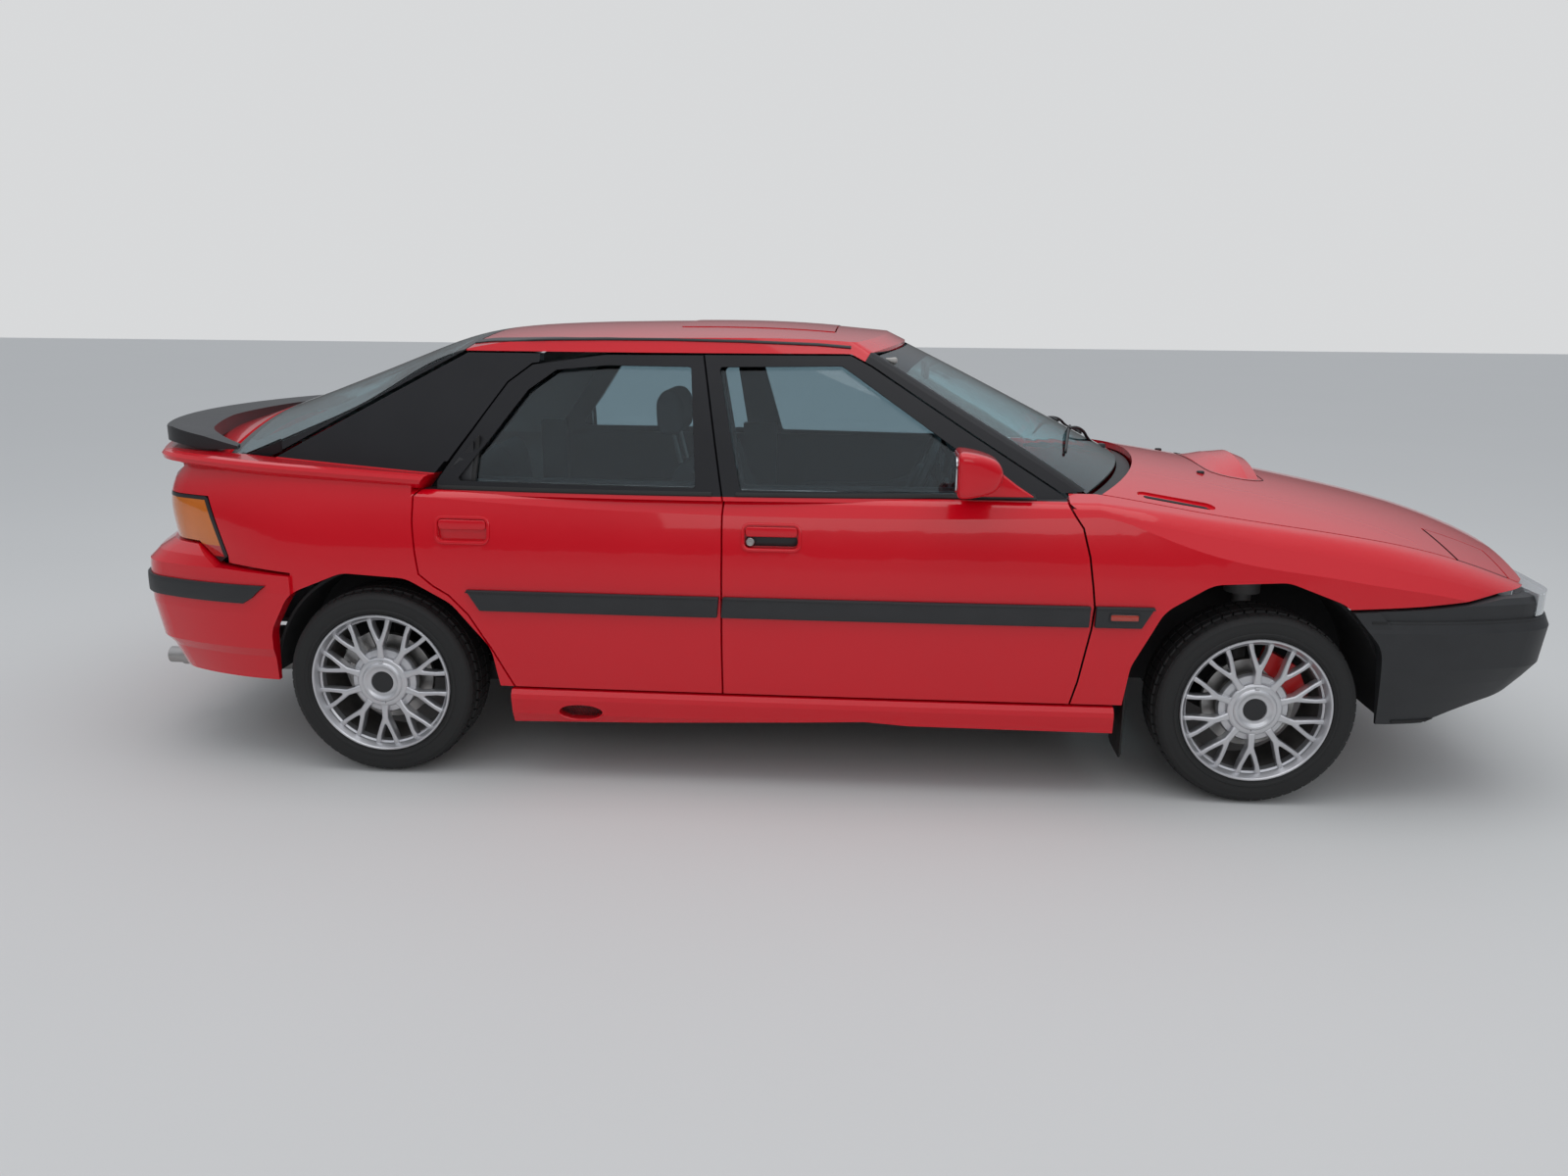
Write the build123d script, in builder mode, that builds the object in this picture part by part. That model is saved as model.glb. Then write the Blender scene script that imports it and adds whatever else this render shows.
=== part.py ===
from build123d import *
import os
from math import sin, cos, tan, asin, radians

os.makedirs("parts", exist_ok=True)

# Millimetres. X points to the nose, Y to the left, Z up, the ground is z 0.
# Every outer shape is built whole for both sides, or on the right side and then mirrored.
FRONT_AXLE_X = 1260
REAR_AXLE_X = -1240
WHEEL_Z = 279
TYRE_R = 279
TYRE_W = 196
RIM_R = 207
TRACK_HALF = 716
GAP = 5.5
SIDE_FRONT_X = 800
SIDE_REAR_X = -1120
SILL_Z = 284
LEAN_Y, LEAN_Z = 785, 866
LEAN_ANGLE = 27.5
SHUT_SHEAR = 0.25
REAR_FRAME_SHEAR = 0.43

# Horizontal outlines of the lower body, from the sills up to the neck under the tail lip.
BODY_LEVELS = [
    # z, side y, nose x, nose corner x, corner y, tail x, tail corner x, corner y
    (170, 806, 2062, 1980, 690, -2030, -1870, 650),
    (350, 822, 2076, 1996, 700, -2050, -1885, 665),
    (540, 830, 2086, 2006, 702, -2062, -1893, 672),
    (700, 822, 2084, 2002, 698, -2066, -1896, 672),
    (820, 800, 2068, 1980, 680, -2070, -1896, 668),
    (895, 776, 2050, 1960, 655, -2038, -1862, 650),
    (980, 752, 2030, 1940, 640, -2030, -1850, 640),
]

# Cross sections of the bonnet and wings: a crown, a rounded shoulder and a straight flank.
FRONT_TOPS = [
    # x, centre z, edge y, crown radius, shoulder radius
    (SIDE_FRONT_X, 940, 764, 3200, 40),
    (1000, 908, 742, 3200, 75),
    (1400, 845, 716, 3400, 100),
    (1720, 784, 690, 3400, 110),
    (1930, 732, 652, 2500, 100),
    (2130, 650, 600, 2300, 90),
]

# The tail lip, drawn level and then tipped up to the rear about its front end.
LIP_FRONT = (-1083, 868)
LIP_TILT = 3.115
LIP_LEVELS = [
    (852, 781, 2062, 1980, 690, -2040, -1862, 655),
    (866, 797, 2062, 1980, 690, -2086, -1905, 684),
    (878, 800, 2062, 1980, 690, -2090, -1908, 686),
    (888, 796, 2062, 1980, 690, -2084, -1902, 682),
    (892, 780, 2062, 1980, 690, -2066, -1886, 668),
]

# Horizontal outlines of the glasshouse.
CABIN_LEVELS = [
    # z, side y, front centre x, front corner x, corner y, rear corner x, corner y
    (836, 800, 1108, 806, 700, -1800, 640),
    (960, 739, 865, 618, 652, -1780, 612),
    (1090, 671, 606, 400, 602, -1700, 570),
    (1222, 600, 338, 184, 548, -1600, 520),
    (1330, 541, 110, 0, 500, -1500, 470),
]

# Crown of the roof, of the rear window and of the deck behind it.
ROOF_TOPS = [
    # x, centre z, crown radius
    (-2110, 925, 6000),
    (-1960, 958, 2600),
    (-1810, 1008, 1700),
    (-1500, 1121, 1700),
    (-1265, 1211, 1850),
    (-1080, 1270, 2900),
    (-880, 1293, 4600),
    (-500, 1305, 4900),
    (-100, 1303, 4900),
    (200, 1281, 4600),
    (420, 1243, 4300),
    (1200, 1040, 4300),
]


def body_outline(level, round_by=160, fx=1480, rx=-1430, pull=16):
    z, side, nose, ncx, ncy, tail, tcx, tcy = level
    edge = side - pull
    with BuildSketch(Plane.XY.offset(z)) as sk:
        with BuildLine():
            ThreePointArc((ncx, -ncy), (nose, 0), (ncx, ncy))
            ThreePointArc((tcx, tcy), (tail, 0), (tcx, -tcy))
            right = ThreePointArc((rx, -edge), (0, -side), (fx, -edge))
            left = ThreePointArc((fx, edge), (0, side), (rx, edge))
            TangentArc((fx, -edge), (ncx, -ncy), tangent=right % 1)
            TangentArc((rx, -edge), (tcx, -tcy), tangent=-(right % 0))
            TangentArc((fx, edge), (ncx, ncy), tangent=-(left % 0))
            TangentArc((rx, edge), (tcx, tcy), tangent=left % 1)
        make_face()
        fillet([v for v in sk.vertices() if v.X > ncx - 2 or v.X < tcx + 2], radius=round_by)
    return sk.sketch


def crown_section(x, zc, edge_y, crown_r, shoulder_r, slope=62, out=980, base=-300):
    a = asin(edge_y / crown_r)
    s = radians(slope)
    m = (a + s) / 2
    ze = zc - crown_r * (1 - cos(a))
    y2, z2 = edge_y + shoulder_r * (sin(s) - sin(a)), ze - shoulder_r * (cos(a) - cos(s))
    ym, zm = edge_y + shoulder_r * (sin(m) - sin(a)), ze - shoulder_r * (cos(a) - cos(m))
    z3 = z2 - (out - y2) * tan(s)
    with BuildSketch(Plane.YZ.offset(x)) as sk:
        with BuildLine():
            ThreePointArc((-edge_y, ze), (0, zc), (edge_y, ze))
            ThreePointArc((edge_y, ze), (ym, zm), (y2, z2))
            Polyline((y2, z2), (out, z3), (out, base), (-out, base), (-out, z3), (-y2, z2))
            ThreePointArc((-y2, z2), (-ym, zm), (-edge_y, ze))
        make_face()
    return sk.sketch


def roof_section(x, zc, crown_r, out=900, base=100):
    drop = crown_r - (crown_r**2 - out**2) ** 0.5
    with BuildSketch(Plane.YZ.offset(x)) as sk:
        with BuildLine():
            ThreePointArc((-out, zc - drop), (0, zc), (out, zc - drop))
            Polyline((out, zc - drop), (out, base), (-out, base), (-out, zc - drop))
        make_face()
    return sk.sketch


def cabin_outline(level, mid_x=-250):
    z, side, nose, fcx, fcy, rcx, rcy = level
    with BuildSketch(Plane.XY.offset(z)) as sk:
        with BuildLine():
            ThreePointArc((fcx, -fcy), (nose, 0), (fcx, fcy))
            Line((rcx, rcy), (rcx, -rcy))
            ThreePointArc((rcx, -rcy), (mid_x, -side), (fcx, -fcy))
            ThreePointArc((fcx, fcy), (mid_x, side), (rcx, rcy))
        make_face()
        fillet([v for v in sk.vertices() if v.X > 0], radius=45)
    return sk.sketch


# A straight-sided block: an outline on a plane, run along a direction.
def run_outline(plane, points, run, mode, grow=0.0, round_by=0.0, corners=None):
    with BuildSketch(plane, mode=Mode.PRIVATE) as sk:
        with BuildLine():
            Polyline(*points, close=True)
        make_face()
        if round_by:
            fillet([v for v in sk.vertices() if corners is None or corners(v)], radius=round_by)
        if grow:
            offset(amount=grow, kind=Kind.INTERSECTION)
    extrude(sk.sketch, amount=run.length, dir=run.normalized(), mode=mode)


# Half width of the skin over the doors at each height.
SKIN_LINE = [(170, 806), (350, 822), (540, 830), (700, 822), (790, 806), (850, 793), (1224, 599)]


def skin_y(z):
    for (z0, y0), (z1, y1) in zip(SKIN_LINE, SKIN_LINE[1:]):
        if z <= z1:
            return y0 + (y1 - y0) * (z - z0) / (z1 - z0)
    return SKIN_LINE[-1][1]


def side_plane(y):
    return Plane((0, y, 0), x_dir=(1, 0, 0), z_dir=(0, -1, 0))


# Side view outlines on the skin of the right side. The shear slants the cut so that a door's
# rear edge draws away from its neighbour as it swings.
def side_cut(points, y0=-900, y1=-560, shear=0.0, mode=Mode.INTERSECT, grow=0.0, round_by=0.0):
    on_skin = [(x + shear * (y0 + skin_y(z)), z) for x, z in points]
    run = Vector(shear * (y1 - y0), y1 - y0, 0)
    run_outline(side_plane(y0), on_skin, run, mode, grow, round_by)


# The same on the leaning plane of the side windows.
def lean_cut(points, depth=260, out=60, shear=0.0, mode=Mode.INTERSECT, grow=0.0, round_by=0.0):
    lean = radians(LEAN_ANGLE)
    start = Vector(-shear * out, -LEAN_Y - out, LEAN_Z)
    plane = Plane(start, x_dir=(1, 0, 0), z_dir=(0, -cos(lean), sin(lean)))
    on_plane = [(x, (z - LEAN_Z) / cos(lean)) for x, z in points]
    run = Vector(shear * (depth + out), depth + out, 0)
    run_outline(plane, on_plane, run, mode, grow, round_by)


def arch_cut(points, y0=-900, y1=-500, grow=0.0, mode=Mode.SUBTRACT):
    run_outline(side_plane(y0), points, Vector(0, y1 - y0, 0), mode, grow, 100, lambda v: v.Y > 100)


# An outline seen from above, cut through the whole height.
def top_cut(points, z0=-50, z1=1500, mode=Mode.INTERSECT, grow=0.0, round_by=0.0):
    run_outline(Plane.XY.offset(z0), points, Vector(0, 0, z1 - z0), mode, grow, round_by)


# An outline in cross section, run along the length.
def cross_cut(points, x0, x1, mode=Mode.ADD):
    run_outline(Plane.YZ.offset(x0), points, Vector(x1 - x0, 0, 0), mode)


def both_sides(points):
    return points + [(x, -y) for x, y in reversed(points) if y > 0]


def slab(x0, x1, y0, y1, z0, z1, mode=Mode.ADD):
    with Locations(((x0 + x1) / 2, (y0 + y1) / 2, (z0 + z1) / 2)):
        Box(abs(x1 - x0), abs(y1 - y0), abs(z1 - z0), mode=mode)


# A bent line across the car in plan: x at the centre, x and y at the end.
def ahead_of(x_mid, x_end, y_end, far=2400, z0=-50, z1=1500, mode=Mode.INTERSECT):
    with BuildSketch(Plane.XY.offset(z0), mode=Mode.PRIVATE) as sk:
        with BuildLine():
            ThreePointArc((x_end, -y_end), (x_mid, 0), (x_end, y_end))
            Polyline((x_end, y_end), (far, y_end), (far, -y_end), (x_end, -y_end))
        make_face()
    extrude(sk.sketch, amount=z1 - z0, dir=(0, 0, 1), mode=mode)


def mirrored(part, label):
    with BuildPart() as other:
        mirror(part, about=Plane.XZ)
    other.part.label = label
    return other.part


# Hulls: the outer volumes that every panel is cut from.
with BuildPart() as stack:
    for row in BODY_LEVELS:
        add(body_outline(row))
    loft()

with BuildPart() as nose_hull:
    for row in FRONT_TOPS:
        add(crown_section(*row))
    loft()
    add(stack.part, mode=Mode.INTERSECT)

with BuildPart() as side_hull:
    extrude(crown_section(*FRONT_TOPS[0]), amount=SIDE_FRONT_X - SIDE_REAR_X, dir=(-1, 0, 0))
    add(stack.part, mode=Mode.INTERSECT)

with BuildPart() as level_lip:
    for row in LIP_LEVELS:
        add(body_outline(row))
    loft(ruled=True)

with BuildPart() as lip:
    add(level_lip.part.rotate(Axis((LIP_FRONT[0], 0, LIP_FRONT[1]), (0, 1, 0)), LIP_TILT))
    slab(-2300, LIP_FRONT[0] + 60, -900, 900, 700, 1100, mode=Mode.INTERSECT)

with BuildPart() as tail_hull:
    add(stack.part)
    side_cut([(SIDE_REAR_X, 100), (SIDE_REAR_X, 860), (-2300, 921), (-2300, 100)], y1=900)

with BuildPart() as crown:
    for row in ROOF_TOPS:
        add(roof_section(*row))
    loft()

with BuildPart() as cabin:
    for row in CABIN_LEVELS:
        add(cabin_outline(row))
    loft()
    add(crown.part, mode=Mode.INTERSECT)

# Wheel arches in side view, each corner rounded.
FRONT_ARCH = [(866, 60), (905, 400), (985, 560), (1110, 638), (1310, 648), (1470, 588), (1572, 470), (1606, 60)]
REAR_ARCH = [(-1566, 60), (-1555, 430), (-1490, 545), (-1330, 610), (-1140, 600), (-1010, 530), (-900, 400),
             (-846, 60)]

# Shut lines of the right side, on the skin.
FRONT_DOOR_LOW = [(-229, SILL_Z), (743, SILL_Z), (760, 352), (787, 507), (792, 568), (785, 624), (772, 706),
                  (752, 782), (710, 842), (660, 920), (-229, 920), (-229, 850), (-229, 790), (-229, 700),
                  (-229, 540), (-229, 350)]
FRONT_DOOR_TOP = [(-229, 838), (716, 838), (423, 1023), (159, 1193), (100, 1224), (-303, 1224)]
FRONT_WINDOW = [(-184, 865), (434, 861), (434, 962), (366, 1008), (118, 1176), (87, 1196), (-261, 1192)]
REAR_DOOR_LOW = [(-234.5, SILL_Z), (-234.5, 350), (-234.5, 540), (-234.5, 700), (-234.5, 790), (-234.5, 850),
                 (-234.5, 920), (-1040, 920), (-1081, 873), (-1113, 832), (-1115, 760), (-1109, 675), (-1100, 615),
                 (-1061, 583), (-1015, 556), (-960, 500), (-894, 393), (-838, SILL_Z)]
REAR_DOOR_TOP = [(-234.5, 838), (-308.5, 1224), (-586, 1222), (-796, 1193), (-864, 1143), (-962, 1009),
                 (-1067, 872), (-1067, 838)]
REAR_WINDOW = [(-309, 870), (-341, 1192), (-580, 1194), (-728, 1180), (-806, 1124), (-905, 990), (-998, 874)]

DOOR_INNER_Y = 726
DOOR_BELT_Z = 852
FRAME_DEEP = 48
HANDLE_Z = (712, 772)
HANDLE_FLOOR_Y = 797

with BuildPart() as cabin_inside:
    add(cabin.part.moved(Location((0, FRAME_DEEP, 0))))

# The doors are cut from their own part of the glasshouse, which keeps its surfaces few.
with BuildPart() as cabin_side:
    add(cabin.part)
    slab(-1200, 900, -900, -450, 800, 1260, mode=Mode.INTERSECT)


# A right door: a thick lower panel up to the belt and a window frame above it.
def door(low, top, window, handle, extra=None):
    with BuildPart() as frame:
        add(cabin_side.part)
        lean_cut(top, shear=SHUT_SHEAR)
        if extra:
            lean_cut(extra, shear=REAR_FRAME_SHEAR)
        add(cabin_inside.part, mode=Mode.SUBTRACT)
        lean_cut(window, mode=Mode.SUBTRACT, round_by=9)
    with BuildPart() as whole:
        add(side_hull.part)
        side_cut(low, shear=SHUT_SHEAR)
        slab(-1300, 900, -DOOR_INNER_Y, 0, 100, 1000, mode=Mode.SUBTRACT)
        slab(-1300, 900, -900, 0, DOOR_BELT_Z, 1000, mode=Mode.SUBTRACT)
        x0, x1 = handle
        z0, z1 = HANDLE_Z
        side_cut([(x0, z0), (x1, z0), (x1, z1), (x0, z1)], y1=-HANDLE_FLOOR_Y, mode=Mode.SUBTRACT, round_by=14)
        add(frame.part)
    return whole.part


right_front_door = door(FRONT_DOOR_LOW, FRONT_DOOR_TOP, FRONT_WINDOW, (-168, -20))
right_front_door.label = "right_front_door"
left_front_door = mirrored(right_front_door, "left_front_door")

# The rear door's back edge slants more, because its upper corner is far inside the hinge.
REAR_FRAME_BACK = [(x + 300 if x > -320 else x, z) for x, z in REAR_DOOR_TOP]
right_rear_door = door(REAR_DOOR_LOW, REAR_DOOR_TOP, REAR_WINDOW, (-1040, -899), REAR_FRAME_BACK)
right_rear_door.label = "right_rear_door"
left_rear_door = mirrored(right_rear_door, "left_rear_door")

# Side glass, set back from the frames and bent like them.
GLASS_BACK, GLASS_FRONT = 19, 14

with BuildPart() as glass_skin:
    add(cabin_side.part.moved(Location((0, GLASS_FRONT, 0))))
    add(cabin.part.moved(Location((0, GLASS_BACK, 0))), mode=Mode.SUBTRACT)


def side_glass(window, label):
    with BuildPart() as glass:
        add(glass_skin.part)
        lean_cut(window, grow=-0.6, round_by=9)
    glass.part.label = label
    return glass.part


right_front_glass = side_glass(FRONT_WINDOW, "right_front_glass")
right_rear_glass = side_glass(REAR_WINDOW, "right_rear_glass")
left_front_glass = mirrored(right_front_glass, "left_front_glass")
left_rear_glass = mirrored(right_rear_glass, "left_rear_glass")

SCREEN_TOP = (284, 100, 700)
SCREEN_FOOT = (962, 762, 700)
BONNET_BACK = (1012, 818, 697)
# Inner edge of the windscreen pillars in plan, with the corner of the glass at each height.
PILLAR_LINE = [(60, 505), (150, 520), (184, 528), (400, 582), (618, 632), (806, 680), (1200, 760)]

with BuildPart() as windscreen:
    add(cabin.part.moved(Location((-8, 0, -4))))
    add(cabin.part.moved(Location((-13.5, 0, -6.8))), mode=Mode.SUBTRACT)
    top_cut(both_sides([(x, y - 0.6) for x, y in PILLAR_LINE]))
    ahead_of(*SCREEN_TOP)
    ahead_of(*SCREEN_FOOT, mode=Mode.SUBTRACT)
windscreen.part.label = "windscreen"

# Windscreen pillars between the door frames and the glass.
with BuildPart() as right_pillar:
    add(cabin.part)
    slab(96, 830, -900, -480, 836, 1236, mode=Mode.INTERSECT)
    lean_cut(FRONT_DOOR_TOP, depth=400, shear=SHUT_SHEAR, mode=Mode.SUBTRACT, grow=GAP)
    slab(90, 722, -900, -700, 800, DOOR_BELT_Z + GAP, mode=Mode.SUBTRACT)
    top_cut(both_sides(PILLAR_LINE), mode=Mode.SUBTRACT)
    add(side_hull.part, mode=Mode.SUBTRACT)
    add(nose_hull.part, mode=Mode.SUBTRACT)

# Roof with its side rails and lining, from the windscreen to the tailgate, with the sunroof opening.
ROOF_REAR_X = -1000
ROOF_SIDE_Z = 1229.5
LINING_DROP = 34
LINING_Y = 548
SUNROOF = (-410, 56, 330)

with BuildPart() as roof_inside:
    add(crown.part.moved(Location((0, 0, -LINING_DROP))))
    slab(-2000, 1000, -LINING_Y, LINING_Y, 1100, 1400, mode=Mode.INTERSECT)

with BuildPart() as roof:
    add(cabin.part)
    slab(ROOF_REAR_X, 400, -900, 900, ROOF_SIDE_Z, 1400, mode=Mode.INTERSECT)
    ahead_of(276, 92, 700, mode=Mode.SUBTRACT)
    add(roof_inside.part, mode=Mode.SUBTRACT)
    slab(SUNROOF[0] - 4, SUNROOF[1] + 4, -SUNROOF[2] - 4, SUNROOF[2] + 4, 1100, 1400, mode=Mode.SUBTRACT)
    add(right_pillar.part)
    mirror(right_pillar.part, about=Plane.XZ)
roof.part.label = "roof"

with BuildPart() as sunroof:
    add(crown.part.moved(Location((0, 0, 2))))
    add(crown.part.moved(Location((0, 0, -8))), mode=Mode.SUBTRACT)
    slab(SUNROOF[0], SUNROOF[1], -SUNROOF[2], SUNROOF[2], 1100, 1400, mode=Mode.INTERSECT)
sunroof.part.label = "sunroof"

# The bonnet's shut lines in plan. They draw in along the nose, where the lamp covers join them.
BONNET_SIDE_Y = 697
NOSE_EDGE_Z = 620
LAMP_INNER_Y = 432
LAMP_REAR_X = 1812
LAMP_PIVOT = (1815, 724)
LAMP_R = 178
LAMP_HOUSE_Y = (452, 610)


def bonnet_plan(mode=Mode.INTERSECT, grow=0.0):
    with BuildSketch(Plane.XY.offset(NOSE_EDGE_Z - 400), mode=Mode.PRIVATE) as sk:
        with BuildLine():
            for side in (-1, 1):
                Line((600, side * BONNET_SIDE_Y), (1500, side * BONNET_SIDE_Y))
                ThreePointArc((1500, side * BONNET_SIDE_Y), (1790, side * 667), (2060, side * 600))
                Line((2060, side * 600), (2200, side * 560))
            Line((600, -BONNET_SIDE_Y), (600, BONNET_SIDE_Y))
            Line((2200, -560), (2200, 560))
        make_face()
        if grow:
            offset(amount=grow, kind=Kind.INTERSECTION)
    extrude(sk.sketch, amount=1000, dir=(0, 0, 1), mode=mode)


# The round volume that a lamp cover and its housing turn in.
def lamp_drum(radius, rear_x, y0, y1, mode, low=-90, high=90):
    with BuildSketch(side_plane(y0), mode=Mode.PRIVATE) as sk:
        with BuildLine():
            points = [(LAMP_PIVOT[0] + radius * cos(radians(a)), LAMP_PIVOT[1] + radius * sin(radians(a)))
                      for a in (low, (low + high) / 2, high)]
            ThreePointArc(*points)
            Polyline(points[2], (rear_x, points[2][1]), (rear_x, LAMP_PIVOT[1] - 30), points[0])
        make_face()
    extrude(sk.sketch, amount=abs(y1 - y0), dir=(0, 1 if y1 > y0 else -1, 0), mode=mode)


# A low bulge behind the middle of the bonnet, steep at its front.
HUMP = [
    # x, surface z there, rise, half width
    (1228, 873, 3, 246),
    (1290, 864, 30, 262),
    (1350, 854, 48, 252),
    (1392, 847, 38, 226),
    (1406, 845, 4, 208),
]
# Air slots beside the windscreen, each on its own slanting plane.
VENT_PLANE = Plane((1035, -640, 838), x_dir=(1, 0, -0.17), z_dir=(0.17, -0.22, 1))
VENT_LONG = 222

with BuildPart() as bonnet_inside:
    add(nose_hull.part.moved(Location((-9, 0, -18))))

with BuildPart() as hump:
    for x, z, rise, half in HUMP:
        with BuildSketch(Plane.YZ.offset(x)):
            with BuildLine():
                ThreePointArc((-half, z - 16), (0, z + rise), (half, z - 16))
                Line((half, z - 16), (-half, z - 16))
            make_face()
    loft(ruled=True)

with BuildPart() as vent_pocket:
    with BuildSketch(VENT_PLANE.offset(40)):
        SlotOverall(VENT_LONG, 54)
    extrude(amount=-46)
    with BuildSketch(VENT_PLANE.offset(-6)):
        with Locations((6, -6)):
            SlotOverall(VENT_LONG - 36, 20)
    extrude(amount=-60)

with BuildPart() as bonnet:
    add(nose_hull.part)
    bonnet_plan()
    ahead_of(*BONNET_BACK)
    add(bonnet_inside.part, mode=Mode.SUBTRACT)
    slab(700, 2200, -900, 900, 100, NOSE_EDGE_Z, mode=Mode.SUBTRACT)
    for side in (-1, 1):
        lamp_drum(LAMP_R + 6, LAMP_REAR_X - 8, side * (LAMP_INNER_Y - GAP), side * 900, Mode.SUBTRACT)
    add(hump.part)
    add(vent_pocket.part, mode=Mode.SUBTRACT)
    mirror(vent_pocket.part, about=Plane.XZ, mode=Mode.SUBTRACT)
bonnet.part.label = "bonnet"

# Wings: the flanks beside the bonnet, round the arch and down to the skirt.
WING_FOOT = [(690, SILL_Z), (690, 1000), (2200, 1000), (2200, 622), (1903, 612), (1790, 596), (1675, 587),
             (1474, 577), (1500, SILL_Z)]
WING_HOLLOW = [(600, 100), (600, 790), (830, 780), (1234, 735), (1500, 700), (1721, 662), (1855, 620), (1900, 600),
               (1900, 100)]

with BuildPart() as wing_hollow:
    extrude(body_outline((90, 795, 2052, 1968, 664, -2030, -1870, 620)), amount=900, dir=(0, 0, 1))
    side_cut(WING_HOLLOW, y1=0)

with BuildPart() as right_wing:
    add(nose_hull.part)
    add(side_hull.part)
    side_cut(WING_FOOT, y1=0)
    side_cut(FRONT_DOOR_LOW, shear=SHUT_SHEAR, mode=Mode.SUBTRACT, grow=GAP)
    lean_cut(FRONT_DOOR_TOP, depth=400, shear=SHUT_SHEAR, mode=Mode.SUBTRACT, grow=GAP)
    bonnet_plan(mode=Mode.SUBTRACT, grow=GAP)
    add(wing_hollow.part, mode=Mode.SUBTRACT)
    slab(600, SIDE_FRONT_X, -BONNET_SIDE_Y, 0, 700, 1000, mode=Mode.SUBTRACT)
    arch_cut(FRONT_ARCH)
    add(cabin.part, mode=Mode.SUBTRACT)

with BuildPart() as front_wings:
    add(right_wing.part)
    mirror(right_wing.part, about=Plane.XZ)
front_wings.part.label = "front_wings"

# Rear quarters: the flanks behind the doors with the tail lip, the broad pillars and the tail panel.
HATCH_LINE = [(-1000, 1229.5), (-1213, 1116), (-1560, 931), (-1640, 900)]
HATCH_SIDE_Y = 640
HATCH_FOOT_Z = 862
PILLAR_DEEP = 42
TAIL_LAMP_SIDE = [(-1751, 803), (-1690, 640), (-1718, 621), (-1794, 676), (-2200, 677), (-2200, 809),
                  (-1760, 809)]
LAMP_HALF_Y = 335
QUARTER_SIDE = [(-825, SILL_Z), (-825, 700), (-1000, 900), (-1000, 1100), (-2200, 1100), (-2200, 679), (-1794, 679),
                (-1718, 624), (-1484, 605), (-1484, SILL_Z)]
QUARTER_HOLLOW = [(-700, 100), (-700, 800), (-1120, 840), (-2200, 840), (-2200, 100)]

with BuildPart() as quarter_hollow:
    extrude(body_outline((90, 785, 2062, 1980, 690, -2040, -1862, 640)), amount=900, dir=(0, 0, 1))
    side_cut(QUARTER_HOLLOW, y1=0)

with BuildPart() as right_quarter:
    add(tail_hull.part)
    add(side_hull.part)
    add(lip.part)
    side_cut(QUARTER_SIDE, y1=-200)
    side_cut(REAR_DOOR_LOW, shear=SHUT_SHEAR, mode=Mode.SUBTRACT, grow=GAP)
    add(quarter_hollow.part, mode=Mode.SUBTRACT)
    slab(-2200, -700, -HATCH_SIDE_Y - GAP, 0, 100, 1200, mode=Mode.SUBTRACT)
    slab(-1200, -700, -715, 0, 100, 1200, mode=Mode.SUBTRACT)
    side_cut([(-1749, 811), (-1686, 640), (-1686, 600), (-2300, 600), (-2300, 811)], mode=Mode.SUBTRACT)
    add(cabin.part, mode=Mode.SUBTRACT)
    arch_cut(REAR_ARCH)

with BuildPart() as right_rear_pillar:
    add(cabin.part)
    slab(-1900, -780, -900, -400, 846, 1224, mode=Mode.INTERSECT)
    side_cut([(-700, 1224), (-994, 1224), (-1208, 1110), (-1555, 925), (-1640, 880), (-1760, 880), (-1760, 700),
              (-700, 700)], y1=-300)
    top_cut([(-700, -400), (-1200, -400), (-1560, -HATCH_SIDE_Y - GAP), (-1900, -HATCH_SIDE_Y - GAP),
             (-1900, -900), (-700, -900)])
    add(cabin.part.moved(Location((0, PILLAR_DEEP, 0))), mode=Mode.SUBTRACT)
    lean_cut(REAR_DOOR_TOP, shear=SHUT_SHEAR, mode=Mode.SUBTRACT, grow=GAP)
    side_cut(REAR_DOOR_LOW, shear=SHUT_SHEAR, mode=Mode.SUBTRACT, grow=GAP)

with BuildPart() as tail_panel:
    add(stack.part)
    slab(-2200, -1800, -652, 652, 678, 857, mode=Mode.INTERSECT)
    extrude(body_outline((100, 775, 2062, 1980, 690, -2038, -1845, 630)), amount=1100, dir=(0, 0, 1),
            mode=Mode.SUBTRACT)
    for side in (-1, 1):
        slab(-2200, -1800, side * (LAMP_HALF_Y - 2), side * 900, 500, 811, mode=Mode.SUBTRACT)

with BuildPart() as rear_quarters:
    add(right_quarter.part)
    add(right_rear_pillar.part)
    mirror(right_quarter.part, about=Plane.XZ)
    mirror(right_rear_pillar.part, about=Plane.XZ)
    add(tail_panel.part)
rear_quarters.part.label = "rear_quarters"

with BuildPart() as tail_lamps:
    add(stack.part)
    side_cut(TAIL_LAMP_SIDE, y1=900)
    extrude(body_outline((100, 775, 2062, 1980, 690, -2020, -1845, 630)), amount=900, dir=(0, 0, 1),
            mode=Mode.SUBTRACT)
    slab(-2200, -1900, -LAMP_HALF_Y, LAMP_HALF_Y, 500, 1000, mode=Mode.SUBTRACT)
tail_lamps.part.label = "tail_lamps"

# Tailgate: a frame under the bonded glass, and the middle of the lip with the deck behind the glass.
HATCH_PLAN = [(-900, 900), (-1400, 900), (-1560, HATCH_SIDE_Y), (-2100, HATCH_SIDE_Y)]
HATCH_SIDE = [(x - GAP, z) for x, z in HATCH_LINE] + [(-1800, 860), (-2200, 860), (-2200, 1400), (-1005.5, 1400)]
GLASS_END_X = -1742
REAR_OPENING = [(-1215, 0), (-1228, 300), (-1262, 500), (-1300, 530), (-1500, 552), (-1672, 560), (-1712, 530),
                (-1718, 300), (-1720, 0)]
GLASS_THICK = 5

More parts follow.
